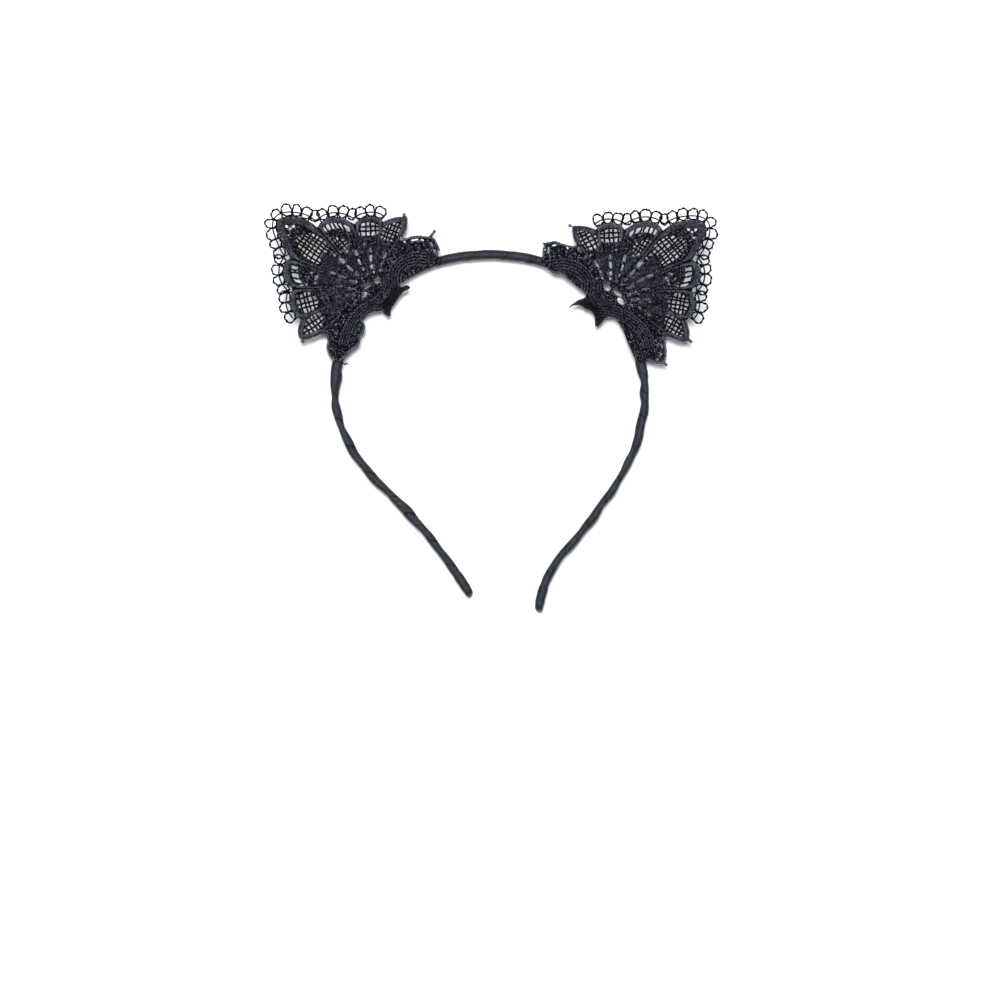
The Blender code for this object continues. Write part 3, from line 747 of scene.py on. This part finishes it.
# Cords down between the outer petals: (angle, three distances), and a bent one: (distance, half width).
SEAMS = (
    (67.3, (26.5, 22, 17)), (87.0, (23.6, 20.5, 16.5)), (-60.6, (31, 26, 19)), (-78.4, (28, 24, 18)),
)
SEAM_WIDTHS = (0.75, 0.6, 0.4)
BENT_SEAM = ((32, 0.7), (27, 0.55), (21, 0.45), (17, 0.3))
# Ridged arcs round the fan's centre: their distances from it.
ARC_RADII = (7.2, 8.6, 10.0, 11.4)
# How high the stitched grounds and the leaf stand.
BODY_HEIGHT = 0.44
FAN_HEIGHT = 0.34
LEAF_HEIGHT = 0.62
# The cords' heights, how far each looks like ground and not satin (kind), and their twist and pitch.
CORDS = {
    "raised leaf": {"height": 0.62, "kind": 0.45},
    "petal leg": {"height": 0.7, "kind": 0.4, "twist": 0.2, "pitch": 1.1},
    "petal rim": {"height": 0.9, "kind": 0.08, "twist": 0.09, "pitch": 0.95},
    "outer rim": {"height": 0.82},
    "outer edge": {"height": 0.7, "twist": 0.24, "pitch": 1.3},
    "seam": {"height": 0.75, "kind": 0.3},
    "contour": {"height": 0.72, "kind": 0.35, "twist": 0.34, "pitch": 1.25},
    "arc": {"height": 0.7, "kind": 0.35, "twist": 0.34, "pitch": 1.15},
    "lobe edge": {"height": 0.82, "twist": 0.26, "pitch": 1.35},
    "spur": {"height": 0.8, "twist": 0.15, "pitch": 0.9},
    "knot": {"height": 0.9, "smooth": False},
}
# Loops along the edge: the space between them, and the points in each.
PICOT_SPACING = 4.25
PICOT_STEPS = 28
# Seeds of the small random changes in the stitches and in the threads.
RELIEF_SEED = 11
THREAD_SEED = {"left": 23, "right": 41}
# Where along the band the ears are sewn on, and one pass of the thread: (outwards, y).
STITCHES = (27, 37, 51, 68, 80)
STITCH_PASS = (
    (-1.0, 3.45), (-1.8, 3.0), (-2.1, 2.2), (-2.1, 0), (-2.1, -3.6), (-1.9, -5.3), (-1.0, -5.95),
    (0, -6.05), (1.0, -5.95), (1.9, -5.4), (2.1, -3.8), (2.1, 0), (2.1, 2.2), (1.8, 3.0), (1.0, 3.45),
)
# The loose ends of that thread: (x, z).
FRAYED_ENDS = {
    "left": (
        ((-64.0, -43.4), (-62.8, -44.3), (-61.6, -44.9), (-60.4, -44.9), (-59.9, -45.4)),
        ((-63.6, -43.2), (-62.4, -44.7), (-61.3, -45.3), (-60.8, -44.3)),
    ),
    "right": (),
}


class Plan:
    """One ear's drawing: where its polar points lie in the half plane x > 0."""

    def __init__(self, side):
        self.side = side
        turned = math.radians(EAR_AXIS[side])
        self.axis = np.array([math.cos(turned), math.sin(turned)])
        self.cross = quarter_turn(self.axis)
        self.centre = np.array(EAR_CENTRE[side])

    def at(self, angle, radius):
        """The place of a polar point, with the inner part of the fan pulled round."""
        pulled = angle + FAN_TWIST[self.side] * max(0.0, 1 - (radius / 44) ** 2) * (radius > 6)
        a = math.radians(pulled)
        return self.centre + radius * (math.cos(a) * self.axis + math.sin(a) * self.cross)

    def uv(self, u, v):
        """The place that far along the axis and across it."""
        return self.centre + u * self.axis + v * self.cross

    def outwards(self, point):
        """The direction away from the fan's centre."""
        return unit(point - self.centre)

    def spoke(self, angle, marks):
        """Points with half widths along one angle, from (distance, half width) pairs."""
        return [(*self.at(angle, radius), wide) for radius, wide in marks]

    def ring(self, points, inside=0.0):
        """Points of a polar outline, moved in towards the middle of the petal."""
        p = np.array([self.at(*point) for point in points])
        if not inside:
            return p
        normal, middle = left_of(p), len(p) // 2
        if normal[middle] @ (self.centre - p[middle]) < 0:
            normal = -normal
        return p + inside * normal

    def crease(self):
        """The crease's middle and its unit normal towards the point of the ear."""
        first, last = (self.at(*end) for end in CREASE)
        along = unit(first - last)
        normal = quarter_turn(along)
        if normal @ self.axis < 0:
            normal = -normal
        return (first + last) / 2, normal


# --- the lace as a field


class Field:
    """The lace on a fine grid: signed distance inside it, and layers for its height, the run and
    off of its stitches, their kind (0 cord, 1 ground) and how dim it is."""

    def __init__(self, low, high):
        self.low = low
        spans = [np.arange(first, last, GRID) for first, last in zip(low, high)]
        self.X, self.Z = np.meshgrid(*spans, indexing="ij")
        self.inside = np.full(self.X.shape, -9.0)
        self.layers = {key: np.zeros(self.X.shape) for key in ("high", "off", "dim")}
        self.layers["run"] = self.X + 0.6 * self.Z
        self.layers["kind"] = np.ones(self.X.shape)

    def window(self, low, high):
        """The part of the grid between two corners."""
        picked = []
        for start, first, last in zip(self.low, low, high):
            i, j = (max(0, int((v - start) / GRID)) for v in (first, last))
            picked.append(slice(i, j + 2))
        return tuple(picked)

    def distance(self, outline):
        """Signed distance to a closed outline, positive inside it, near the outline."""
        p = np.asarray(outline, float)
        w = self.window(p.min(0) - 2, p.max(0) + 2)
        X, Z = self.X[w], self.Z[w]
        nearest = np.full(X.shape, 99.0)
        odd = np.zeros(X.shape, bool)
        for (ax, az), (bx, bz) in zip(p, np.roll(p, -1, 0)):
            dx, dz = bx - ax, bz - az
            t = np.clip(((X - ax) * dx + (Z - az) * dz) / (dx * dx + dz * dz + 1e-12), 0, 1)
            nearest = np.minimum(nearest, np.hypot(X - ax - t * dx, Z - az - t * dz))
            if az != bz:
                crossing = (az > Z) != (bz > Z)
                odd ^= crossing & (X < dx * (Z - az) / dz + ax)
        return w, np.where(odd, nearest, -nearest)

    def lay(self, w, within, **work):
        """Lays work over what is there, where it stands higher."""
        over = within & (work["high"] > self.layers["high"][w])
        for key, values in work.items():
            self.layers[key][w] = np.where(over, values, self.layers[key][w])

    def plate(self, outline, height, kind=1.0, grain=None, dim=0.0):
        """Fills a closed outline with stitching of that height, darker by dim."""
        w, distance = self.distance(outline)
        self.inside[w] = np.maximum(self.inside[w], distance)
        edge = 1 - np.clip(distance / height, 0, 1)
        work = {"high": height * np.sqrt(1 - edge**2), "kind": kind, "dim": dim}
        if grain:
            a = math.radians(grain)
            work["run"] = self.X[w] * math.cos(a) + self.Z[w] * math.sin(a)
        self.lay(w, distance > 0, **work)

    def hole(self, centre, half_length, half_width, direction, power=2.0):
        """Opens a rounded hole with a slightly raised rim."""
        reach = max(half_length, half_width) + 2
        w = self.window(centre - reach, centre + reach)
        X, Z = self.X[w] - centre[0], self.Z[w] - centre[1]
        c, s = direction
        a = np.abs(X * c + Z * s) / half_length
        b = np.abs(-X * s + Z * c) / half_width
        gap = (1 - (a**power + b**power) ** (1 / power)) * min(half_length, half_width)
        self.inside[w] = np.minimum(self.inside[w], -gap)
        rim = np.clip(1 - np.abs(gap + 0.45) / 0.45, 0, 1)
        self.layers["high"][w] += np.where(gap < 0, 0.16 * rim, 0)

    def cut(self, outline):
        """Takes a closed outline out of the lace."""
        w, distance = self.distance(outline)
        self.inside[w] = np.minimum(self.inside[w], -distance)

    def cord(self, points, half_width, height, kind=0.0, twist=0.0, pitch=1.2, smooth=True):
        """A raised cord along a line. Points may carry their own half widths."""
        p = np.asarray(points, float)
        if p.shape[1] == 2:
            p = np.column_stack([p, np.full(len(p), half_width)])
        if smooth:
            p = smooth_line(p, 0.7)
        run = 0.0
        for (ax, az, wa), (bx, bz, wb) in zip(p, p[1:]):
            dx, dz = bx - ax, bz - az
            length = math.hypot(dx, dz)
            if length < 1e-6:
                continue
            reach = max(wa, wb) + 0.9
            low = (min(ax, bx) - reach, min(az, bz) - reach)
            w = self.window(low, (max(ax, bx) + reach, max(az, bz) + reach))
            X, Z = self.X[w] - ax, self.Z[w] - az
            t = np.clip((X * dx + Z * dz) / length**2, 0, 1)
            side = np.sign(X * dz - Z * dx)
            d = np.hypot(X - t * dx, Z - t * dz)
            s = run + t * length
            wave = 1 + twist * np.cos(2 * np.pi * s / pitch + side * 0.5 * np.pi)
            wide = (wa + (wb - wa) * t) * wave
            self.inside[w] = np.maximum(self.inside[w], wide - d)
            rise = height * wave * np.sqrt(np.clip(1 - (d / wide) ** 2, 0, 1)) ** 0.8
            self.lay(w, d < wide, high=rise, run=s, off=side * d, kind=kind)
            run += length

    def relief(self, seed):
        """Small unevenness of hand-set stitches, and how far each place stands above those round it,
        kept as the level that paints light and shade into the lace's colour.
        """
        high = self.layers["high"]
        rough = soften(np.random.RandomState(seed).rand(*high.shape), 2)
        rough = (rough - rough.mean()) / rough.std()
        amount = np.where(self.layers["kind"] > 0.5, 0.06, 0.02)
        high = np.where(high > 0.05, np.maximum(0.08, high + amount * rough), high)
        around = soften(np.where(self.inside > 0, high, 0), 14)
        self.layers["high"] = high
        # Painted shade in the furrows and painted light on raised stitches, less each plate's dim.
        self.layers["level"] = np.clip(0.5 + 1.2 * (high - around - 0.04), 0, 1) - self.layers["dim"]


def soften(values, passes):
    """Each value becomes the mean of itself and its four neighbours, that many times."""
    for _ in range(passes):
        beside = [np.roll(values, way, axis) for axis in (0, 1) for way in (1, -1)]
        values = sum(beside, values) / 5
    return values


def lace_depth(side, X, Z):
    """How far front or back the middle of the lace lies: over the band, drooping inside the hoop,
    and leaning back a little towards the point of the ear."""
    plan = Plan(side)
    _, bx, bz, heading = (values[SEWN_STRETCH] for values in BAND[side])
    nearest = np.argmin(np.hypot(X[..., None] - bx, Z[..., None] - bz), axis=-1)
    turned = heading[nearest]
    outside = (X - bx[nearest]) * np.sin(turned) + (Z - bz[nearest]) * np.cos(turned)
    dx, dz = X - plan.centre[0], Z - plan.centre[1]
    u, v = (dx * way[0] + dz * way[1] for way in (plan.axis, plan.cross))
    inner = np.clip(-outside - 2.2, 0, None)
    outer = np.clip(outside - 2.4, 0, 9)
    droop = 0.14 * inner**1.25 + 0.05 * outer
    lean = 1.9 * (np.clip(u, 0, None) / 48) ** 2
    waves = 0.35 * np.sin(u / 7.5 + 0.4) * np.sin(v / 8.5 + 1.1) + 0.18 * np.sin(v / 4.1 + u / 9)
    return LACE_DEPTH + droop + lean + waves * np.clip(np.abs(outside) / 8, 0.1, 1) * SIDE[side]


def corners(grid):
    """The values at the four corners of each cell, in order round it."""
    return [grid[:-1, :-1], grid[1:, :-1], grid[1:, 1:], grid[:-1, 1:]]


def field_mesh(name, field, side):
    """The lace as a closed sheet: raised front, flatter back, with the edge moved on to the
    outline so that it is smooth."""
    f = field.inside
    fx, fz = np.gradient(f, GRID)
    steep = np.hypot(fx, fz) + 1e-6
    core = f > EDGE_INSIDE * GRID
    edge = (f > -EDGE_OUTSIDE * GRID) & ~core
    most = EDGE_MOVE * GRID
    move = np.where(edge, np.clip(-f / steep, -most, most), 0) / steep
    X, Z = field.X + move * fx, field.Z + move * fz
    keep = np.logical_and.reduce(corners(edge | core)) & np.logical_or.reduce(corners(core))
    quads = np.stack([corner[keep] for corner in corners(np.arange(f.size).reshape(f.shape))], axis=-1)

    # The front uses every wanted point. Behind it the edge's points are shared and the rest are new.
    wanted = np.unique(quads)
    inner = ~edge.ravel()[wanted]
    extra = wanted[inner]
    number = np.full(f.size, -1)
    number[wanted] = np.arange(len(wanted))
    behind = np.arange(len(wanted))
    behind[inner] = len(wanted) + np.arange(len(extra))
    depth = lace_depth(side, X, Z)
    high = np.where(core, np.maximum(field.layers["high"], LEAST_HEIGHT), 0)
    front = stacked(X, depth - high, Z)
    back = stacked(X, depth + np.minimum(BACK_SHARE * high, MOST_BACK), Z)
    verts = np.vstack([front[wanted], back[extra]])
    top = number[quads]
    faces = top.tolist() + behind[top][:, ::-1].tolist()

    # Where only one quad meets a side, the front and the back are joined.
    pairs = np.vstack([top[:, [k, (k + 1) % 4]] for k in range(4)])
    _, first, count = np.unique(np.sort(pairs, axis=1), axis=0, return_index=True, return_counts=True)
    for p, q in pairs[first[count == 1]].tolist():
        ring = [q, p] + [int(behind[end]) for end in (p, q) if behind[end] != end]
        if len(ring) > 2:
            faces.append(ring)
    if side == "left":
        verts[:, 0] *= -1
        faces = [face[::-1] for face in faces]
    pick = np.concatenate([wanted, extra])
    values = {key: field.layers[key].ravel()[pick] for key in ("run", "off", "kind", "level")}
    return mesh_object(name, verts, faces, values)


def outer_edge(plan, petals, step):
    """The edges of the petals one after another, from the crown end to the far end."""
    edge = []
    for petal in petals:
        edge += smooth_line(plan.ring(petal[::-1]), step).tolist()[:-1]
    return edge


def draw_fan(field, plan):
    """The petals: dense ground, raised leaves, net windows and slots."""
    base = [plan.at(-84, 27), plan.uv(-3, -20), plan.uv(-5, 0), plan.uv(-4, 16)]
    field.plate(outer_edge(plan, PETALS, 0.8) + base, FAN_HEIGHT)
    for (angle, reach), first, last in zip(STEMS, STEM_GAPS, STEM_GAPS[1:]):
        gap = math.radians(first - last)
        marks = []
        for radius in np.linspace(5.5, reach, 8):
            rounding = min(1.0, ((reach + 0.9 - radius) / 4.0)) ** 0.5
            marks.append((radius, max(0.35, (gap * radius / 2 - 0.75) * rounding)))
        field.cord(plan.spoke(angle, marks), 0, **CORDS["raised leaf"])
    for points, _, _ in NETS:
        field.cut(smooth_line(plan.ring(points), 0.7, closed=True))
    for angle, radius, length, width in SLOTS:
        if plan.side == "left" and angle < -30:
            width *= 0.6
        centre = plan.at(angle, radius)
        field.hole(centre, length / 2 + 0.12, width / 2 + 0.13, plan.outwards(centre), 3)
    for angle, radius, half_length, half_width in PIN_HOLES:
        centre = plan.at(angle, radius)
        field.hole(centre, half_length, half_width, plan.outwards(centre))


def draw_rims(field, plan):
    """The satin cords round the petals and down between them."""
    for petal, (half, inside) in zip(PETALS[1:-1], RIMS):
        ring = smooth_line(plan.ring(petal, inside), 1.0)
        swell = np.sin(np.pi * np.linspace(0, 1, len(ring))) ** 0.6
        rim = np.column_stack([ring, half * (0.58 + 0.42 * swell)])
        (first, near), (last, far) = petal[0], petal[-1]
        head = plan.spoke(first + 1.4, ((18, 0.32), (23, 0.45), (near - 3.5, 0.62)))
        tail = plan.spoke(last - 1.4, ((far - 3.5, 0.62), (23, 0.45), (18, 0.32)))
        for leg in (head, tail):
            field.cord(leg, 0, **CORDS["petal leg"])
        field.cord([head[-1], *rim[1:-1], tail[0]], 0, **CORDS["petal rim"])
    for petal in (PETALS[0], PETALS[-1]):
        field.cord(smooth_line(plan.ring(petal, 1.45), 0.8), 0.85, **CORDS["outer rim"])
        field.cord(smooth_line(plan.ring(petal, 0.42), 0.7), 0.44, **CORDS["outer edge"])
    for angle, radii in SEAMS:
        field.cord(plan.spoke(angle, zip(radii, SEAM_WIDTHS)), 0, **CORDS["seam"])
    bent = [(*plan.at(7.5 + 0.15 * r, r), wide) for r, wide in BENT_SEAM]
    field.cord(bent, 0, **CORDS["seam"])


def shifted(points, amount):
    """The line moved sideways."""
    p = smooth_line(points, 2.0)
    return p + amount * left_of(p)


def draw_sewn(field, plan):
    """The lace over the band: body, lobes, ridged lines and leaf."""
    side = plan.side
    field.plate(smooth_line(BODY[side], 1.0, closed=True), BODY_HEIGHT)
    ground = field.inside.copy()
    for (line, spacing, count), way in zip(CONTOURS[side], (-1, 1)):
        for k in range(count):
            field.cord(shifted(line, way * spacing * k), 0.43, **CORDS["contour"])
    sweep = np.radians(np.arange(118, 246, 10))
    for radius in ARC_RADII:
        arc = [plan.uv(radius * 0.74 * math.cos(a), radius * math.sin(a)) for a in sweep]
        field.cord(arc, 0.43, **CORDS["arc"])
    field.inside = np.minimum(field.inside, ground)
    field.plate(smooth_line(LEAF[side], 0.8, closed=True), LEAF_HEIGHT, kind=0.1, grain=40, dim=0.24)
    for first, last in EDGED[side]:
        field.cord(shifted(BODY[side][first : last + 1], 0.5), 0.5, **CORDS["lobe edge"])
    for spur in SPURS[side]:
        field.cord(spur, 0, **CORDS["spur"])
    for x, z, half_length, half_width, degrees in EDGE_SLOTS[side]:
        turned = math.radians(degrees)
        field.hole(np.array([x, z]), half_length, half_width, (math.cos(turned), math.sin(turned)), 2.4)
    for x, z, radius in KNOTS[side]:
        field.cord(((x, z), (x + 0.2, z + 0.1)), radius, **CORDS["knot"])


def lace_body(side):
    """One ear's lace, drawn from the band outwards and then made into a mesh."""
    plan = Plan(side)
    field = Field(*LACE_CORNERS)
    for draw in (draw_sewn, draw_fan, draw_rims):
        draw(field, plan)
    grown = 1.0 if side == "left" else 1.2
    slant = unit(plan.cross - 0.22 * plan.axis)
    for u, v, half_length, half_width in EYELETS:
        field.hole(plan.uv(u, v), half_length * grown, half_width * grown, slant, 2.3)
    field.relief(RELIEF_SEED)
    return field_mesh(f"{side}_ear_lace", field, side)


# --- nets, picots and sewing


def on_lace(side, points, lift):
    """A line of the half plane laid in front of the lace's middle surface by the lift."""
    x, z = np.asarray(points, float).T
    line = stacked(SIDE[side] * x, lace_depth(side, x, z) - lift, z)
    return line[:: SIDE[side]]


def placed_thread(threads, side, points, lift, radius):
    """Adds a round thread that lies on the lace."""
    if np.ndim(radius):
        radius = radius[:: SIDE[side]]
    threads.tube(on_lace(side, points, lift), radius)


def lay_net(threads, plan, net, rng):
    """Two families of threads across one window, each drawn a little unevenly."""
    points, *spacings = net
    ring = smooth_line(plan.ring(points), 0.7, closed=True)
    centre = ring.mean(axis=0)
    out = plan.outwards(centre)
    ways = (out, quarter_turn(out))
    local = (ring - centre) @ np.stack(ways, axis=-1)
    for family, spacing in enumerate(spacings):
        if not spacing:
            continue
        way, side = ways[family], ways[1 - family]
        run, off = local[:, family], local[:, 1 - family]
        low, high = off.min(), off.max()
        count = max(1, int(round((high - low) / spacing)) - 1)
        gap = (high - low) / (count + 1)
        for k in range(count):
            offset = low + gap * (k + 1) + rng.uniform(-0.24, 0.24)
            crossing = (off - offset) * (np.roll(off, -1) - offset) < 0
            if crossing.sum() < 2:
                continue
            ends = run[crossing]
            start, stop = ends.min() - 0.55, ends.max() + 0.55
            steps = max(4, int((stop - start) / 0.5))
            bend = rng.uniform(-0.3, 0.3)
            t = np.linspace(0, 1, steps)[:, None]
            bow = bend * np.sin(np.pi * t) + 0.08 * np.sin(9 * t + k * 2)
            line = centre + way * (start + (stop - start) * t) + side * (offset + bow)
            wobble = NET_RADIUS * (1 + 0.13 * np.sin(np.arange(steps) * 1.9 + k))
            placed_thread(threads, plan.side, line, NET_LIFTS[family], wobble)


def picot_row(plan):
    """The edge the picots stand on, and that edge moved out to where the loops begin."""
    edge = np.array(outer_edge(plan, PETALS[1:-1], 0.5))
    normal = left_of(edge)
    if normal[len(edge) // 2] @ plan.axis < 0:
        normal = -normal
    moved = edge + BAR_STANDOFF * normal
    gap = np.array([np.linalg.norm(edge - point, axis=1).min() for point in moved])
    line = moved[np.where(gap > 0.97 * BAR_STANDOFF)[0][3:-3]]
    for _ in range(3):
        line[1:-1] = (line[:-2] + 2 * line[1:-1] + line[2:]) / 4
    return line, edge


def lay_picots(threads, plan, rng):
    """A bar that follows the petals' edge on short posts, with a twisted loop over each space."""
    line, edge = picot_row(plan)
    run = run_along(line)
    marks = np.linspace(0, run[-1], int(round(run[-1] / PICOT_SPACING)) + 1)
    marks[1:-1] += [rng.uniform(-0.35, 0.35) for _ in marks[1:-1]]
    on_bar = np.stack([np.interp(marks, run, line[:, k]) for k in (0, 1)], axis=-1)
    placed_thread(threads, plan.side, smooth_line(line[::3], 0.6), 0.05, BAR_RADIUS)
    a = np.arange(PICOT_STEPS) / PICOT_STEPS * 2 * np.pi
    c, s = squared(a, 0.86)
    for low, high in zip(on_bar, [*on_bar[1:], None]):
        nearest = edge[np.argmin(np.linalg.norm(edge - low, axis=1))]
        post = [low + (nearest - low) * t for t in np.linspace(0, 1, 5)]
        post.append(nearest + unit(nearest - low) * 0.6)
        placed_thread(threads, plan.side, post, 0.08, BAR_RADIUS)
        if high is None:
            break
        middle = (low + high) / 2
        side = unit(high - low)
        out = quarter_turn(side)
        if out @ (middle - nearest) < 0:
            out = -out
        wide = np.linalg.norm(high - low) / 2 * rng.uniform(0.92, 1.06)
        tall = rng.uniform(5.1, 5.7)
        lean = rng.uniform(-0.35, 0.35)
        tip = rng.uniform(-0.35, 0.35)
        dip = rng.uniform(1.75, 2.0)
        phase = rng.uniform(0, 6.28)
        wobble = 1 + 0.06 * np.sin(3 * a + phase) + 0.045 * np.sin(7 * a + 2 * phase)
        dz = tall / 2 * (1 + 0.9 * wobble * s) - dip
        dx = wide * wobble * c + lean * dz * 0.3
        ring = middle + side * dx[:, None] + out * dz[:, None]
        lift = 0.12 + 0.4 * tip * dx + 0.12 * dz * rng.uniform(-1, 1)
        thick = PICOT_RADIUS * (1 + 0.24 * np.sin(np.arange(PICOT_STEPS) * 1.57 + phase))
        threads.tube(on_lace(plan.side, ring, lift), thick, 8, closed=True)
        if rng.random() < 0.6:
            top = middle + out * (tall * 0.95 - dip) + side * rng.uniform(-0.8, 0.8)
            lump = [top + side * t for t in (-0.36, -0.12, 0.12, 0.36)]
            placed_thread(threads, plan.side, lump, 0.12, PICOT_RADIUS * np.array([0.8, 1.5, 1.5, 0.8]))


def lace_threads(side):
    """One ear's net and picots."""
    plan = Plan(side)
    rng = random.Random(THREAD_SEED[side])
    threads = Threads()
    for net in NETS:
        lay_net(threads, plan, net, rng)
    lay_picots(threads, plan, rng)
    return threads.make(f"{side}_ear_net_and_picots")


def stitching(side):
    """Sewing thread wound round the band and through the lace, with a frayed end on the left."""
    threads = Threads()
    path = [band_point(side, along, out, y) / MM for along in STITCHES for out, y in STITCH_PASS]
    threads.tube(smooth_line(path, 0.5), STITCH_RADIUS, 6)
    for ends in FRAYED_ENDS[side]:
        tail = [(x, -4.6 + 0.25 * i, z) for i, (x, z) in enumerate(ends)]
        threads.tube(smooth_line(tail, 0.4), FRAYED_RADIUS, 6)
    return threads.make(f"{side}_sewing_thread")


# --- surroundings

FLOOR_HEIGHT = -330
FLOOR_REACH = 4000
BACKDROP_GAP = 4.4
# Suns: name, strength, colour, width, height above level, and how far round to the side.
SUNS = (("key", 4.1, (0.93, 0.96, 1.0), 17, 12, -2), ("above", 1.0, (0.95, 0.97, 1.0), 25, 74, -18))
SKY = ((0.93, 0.96, 1, 1), 0.11)
# The camera, in metres: how far in front it stands, how wide it sees, and its place.
CAMERA_DISTANCE = 3.0
VIEW_WIDTH = 0.4227
CAMERA_X, CAMERA_Z = 0.00235, -0.1008


def backdrop_depth(X, Z):
    """Close behind the band, with room behind each ear for it to tilt back."""
    depth = np.full(X.shape, BACKDROP_GAP)
    for side in SIDE:
        middle, normal = Plan(side).crease()
        beyond = (SIDE[side] * X - middle[0]) * normal[0] + (Z - middle[1]) * normal[1]
        slope = np.clip(beyond - 6, -60, 400)
        depth += 0.55 * np.where(slope > 30, slope, 3 * np.log1p(np.exp(np.minimum(slope, 30) / 3)))
    return depth


def floor():
    """The table the stage stands on, out of the picture."""
    square = ((-1, -1), (1, -1), (1, 1), (-1, 1))
    verts = [(x * FLOOR_REACH, y * FLOOR_REACH, FLOOR_HEIGHT) for x, y in square]
    table = mesh_object("floor", verts, [(0, 1, 2, 3)], smooth=False)
    table.data.materials.append(matte_material("table", 0.5).made)


def backdrop():
    """White card behind the headband. It is clear from its rear face, so that the headband can be
    seen from behind."""
    card = matte_material("backdrop seen from the front", 0.93)
    mixed = card.nodes.new("ShaderNodeMixShader")
    rear = card.node("ShaderNodeNewGeometry", "Backfacing")
    clear = card.node("ShaderNodeBsdfTransparent", "BSDF")
    for value, socket in zip((rear, card.shader.outputs["BSDF"], clear), mixed.inputs):
        card.join(value, socket)
    card.join(mixed.outputs["Shader"], card.nodes["Material Output"].inputs["Surface"])
    steps = np.concatenate([[-1500, -700, -350], np.linspace(-220, 220, 111), [350, 700, 1500]])
    heights = np.concatenate([np.linspace(FLOOR_HEIGHT, 130, 93), [300, 600, 1200]])
    X, Z = np.meshgrid(steps, heights, indexing="ij")
    faces = grid_faces(len(steps), len(heights), flip=True)
    wall = mesh_object("backdrop", stacked(X, backdrop_depth(X, Z), Z), faces)
    wall.data.materials.append(card.made)


def lights():
    """One soft sun from the front, one from above, and a faint sky."""
    for name, strength, colour, width, height, turn in SUNS:
        sun = bpy.data.lights.new(name, "SUN")
        sun.energy = strength
        sun.color = colour
        sun.angle = math.radians(width)
        placed(name, sun).rotation_euler = (math.radians(90 - height), 0, math.radians(turn))
    world = bpy.data.worlds.new("studio")
    world.use_nodes = True
    sky = world.node_tree.nodes["Background"].inputs
    sky["Color"].default_value, sky["Strength"].default_value = SKY
    bpy.context.scene.world = world


def camera():
    """Level with the headband's middle and straight in front of it."""
    lens = bpy.data.cameras.new("camera")
    lens.sensor_width = 36
    lens.lens = lens.sensor_width * CAMERA_DISTANCE / VIEW_WIDTH
    lens.clip_end = 100
    scene = bpy.context.scene
    scene.camera = placed("camera", lens)
    scene.camera.location = (CAMERA_X, -CAMERA_DISTANCE, CAMERA_Z)
    scene.camera.rotation_euler = (math.radians(90), 0, 0)
    scene.view_settings.view_transform = "Standard"
    scene.view_settings.look = "None"


# --- putting it together

# The winding is cut here, in turns from the crown.
RIBBON_CUTS = (-16.1, -4.6, -0.4, 3.2, 14.55)
RIBBON_LENGTHS = (("left", "leg"), ("left", "crown"), ("right", "crown"), ("right", "leg"))


def dress(obj, material):
    """Gives a piece its look."""
    obj.data.materials.append(material)
    return obj


def wind_ribbon(material):
    """Four lengths of one winding, cut where the band bends from one part to the next."""
    for (side, part), first, last in zip(RIBBON_LENGTHS, RIBBON_CUTS, RIBBON_CUTS[1:]):
        wound = ribbon(f"{side}_{part}_ribbon", side, first, last)
        piece = dress(wound, material)
        if part == "leg":
            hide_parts(f"{side}_leg_ribbon_wrap", f"{side}_shoulder_ribbon_wrap")
            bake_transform(piece)
        else:
            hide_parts("crown_ribbon_wrap", f"{side}_shoulder_ribbon_wrap")
            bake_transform(piece)


def main():
    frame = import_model()
    for build in (floor, backdrop, lights, camera):
        build()
    lace = lace_material()
    satin = ribbon_material()
    net_thread = thread_material("twisted lace thread", 0.8)
    sewing = thread_material("sewing thread", 0.45)
    steel = steel_material()
    for node, obj in frame["nodes"].items():
        if "spring_core" in node:
            obj.data.materials.clear()
            obj.data.materials.append(steel)
    wind_ribbon(satin)
    for side in SIDE:
        tip = dress(tip_fold(side), satin)
        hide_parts(f"{side}_tip_ribbon_fold")
        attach(tip, f"{side}_leg")
        body = dress(lace_body(side), lace)
        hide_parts(f"{side}_ear_lace_fan", f"{side}_ear_sewn_lace")
        web = dress(lace_threads(side), net_thread)
        for piece in (body, web):
            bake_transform(piece)
        seam = dress(stitching(side), sewing)
        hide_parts(f"{side}_ear_stitches")
        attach(seam, f"{side}_shoulder")


main()
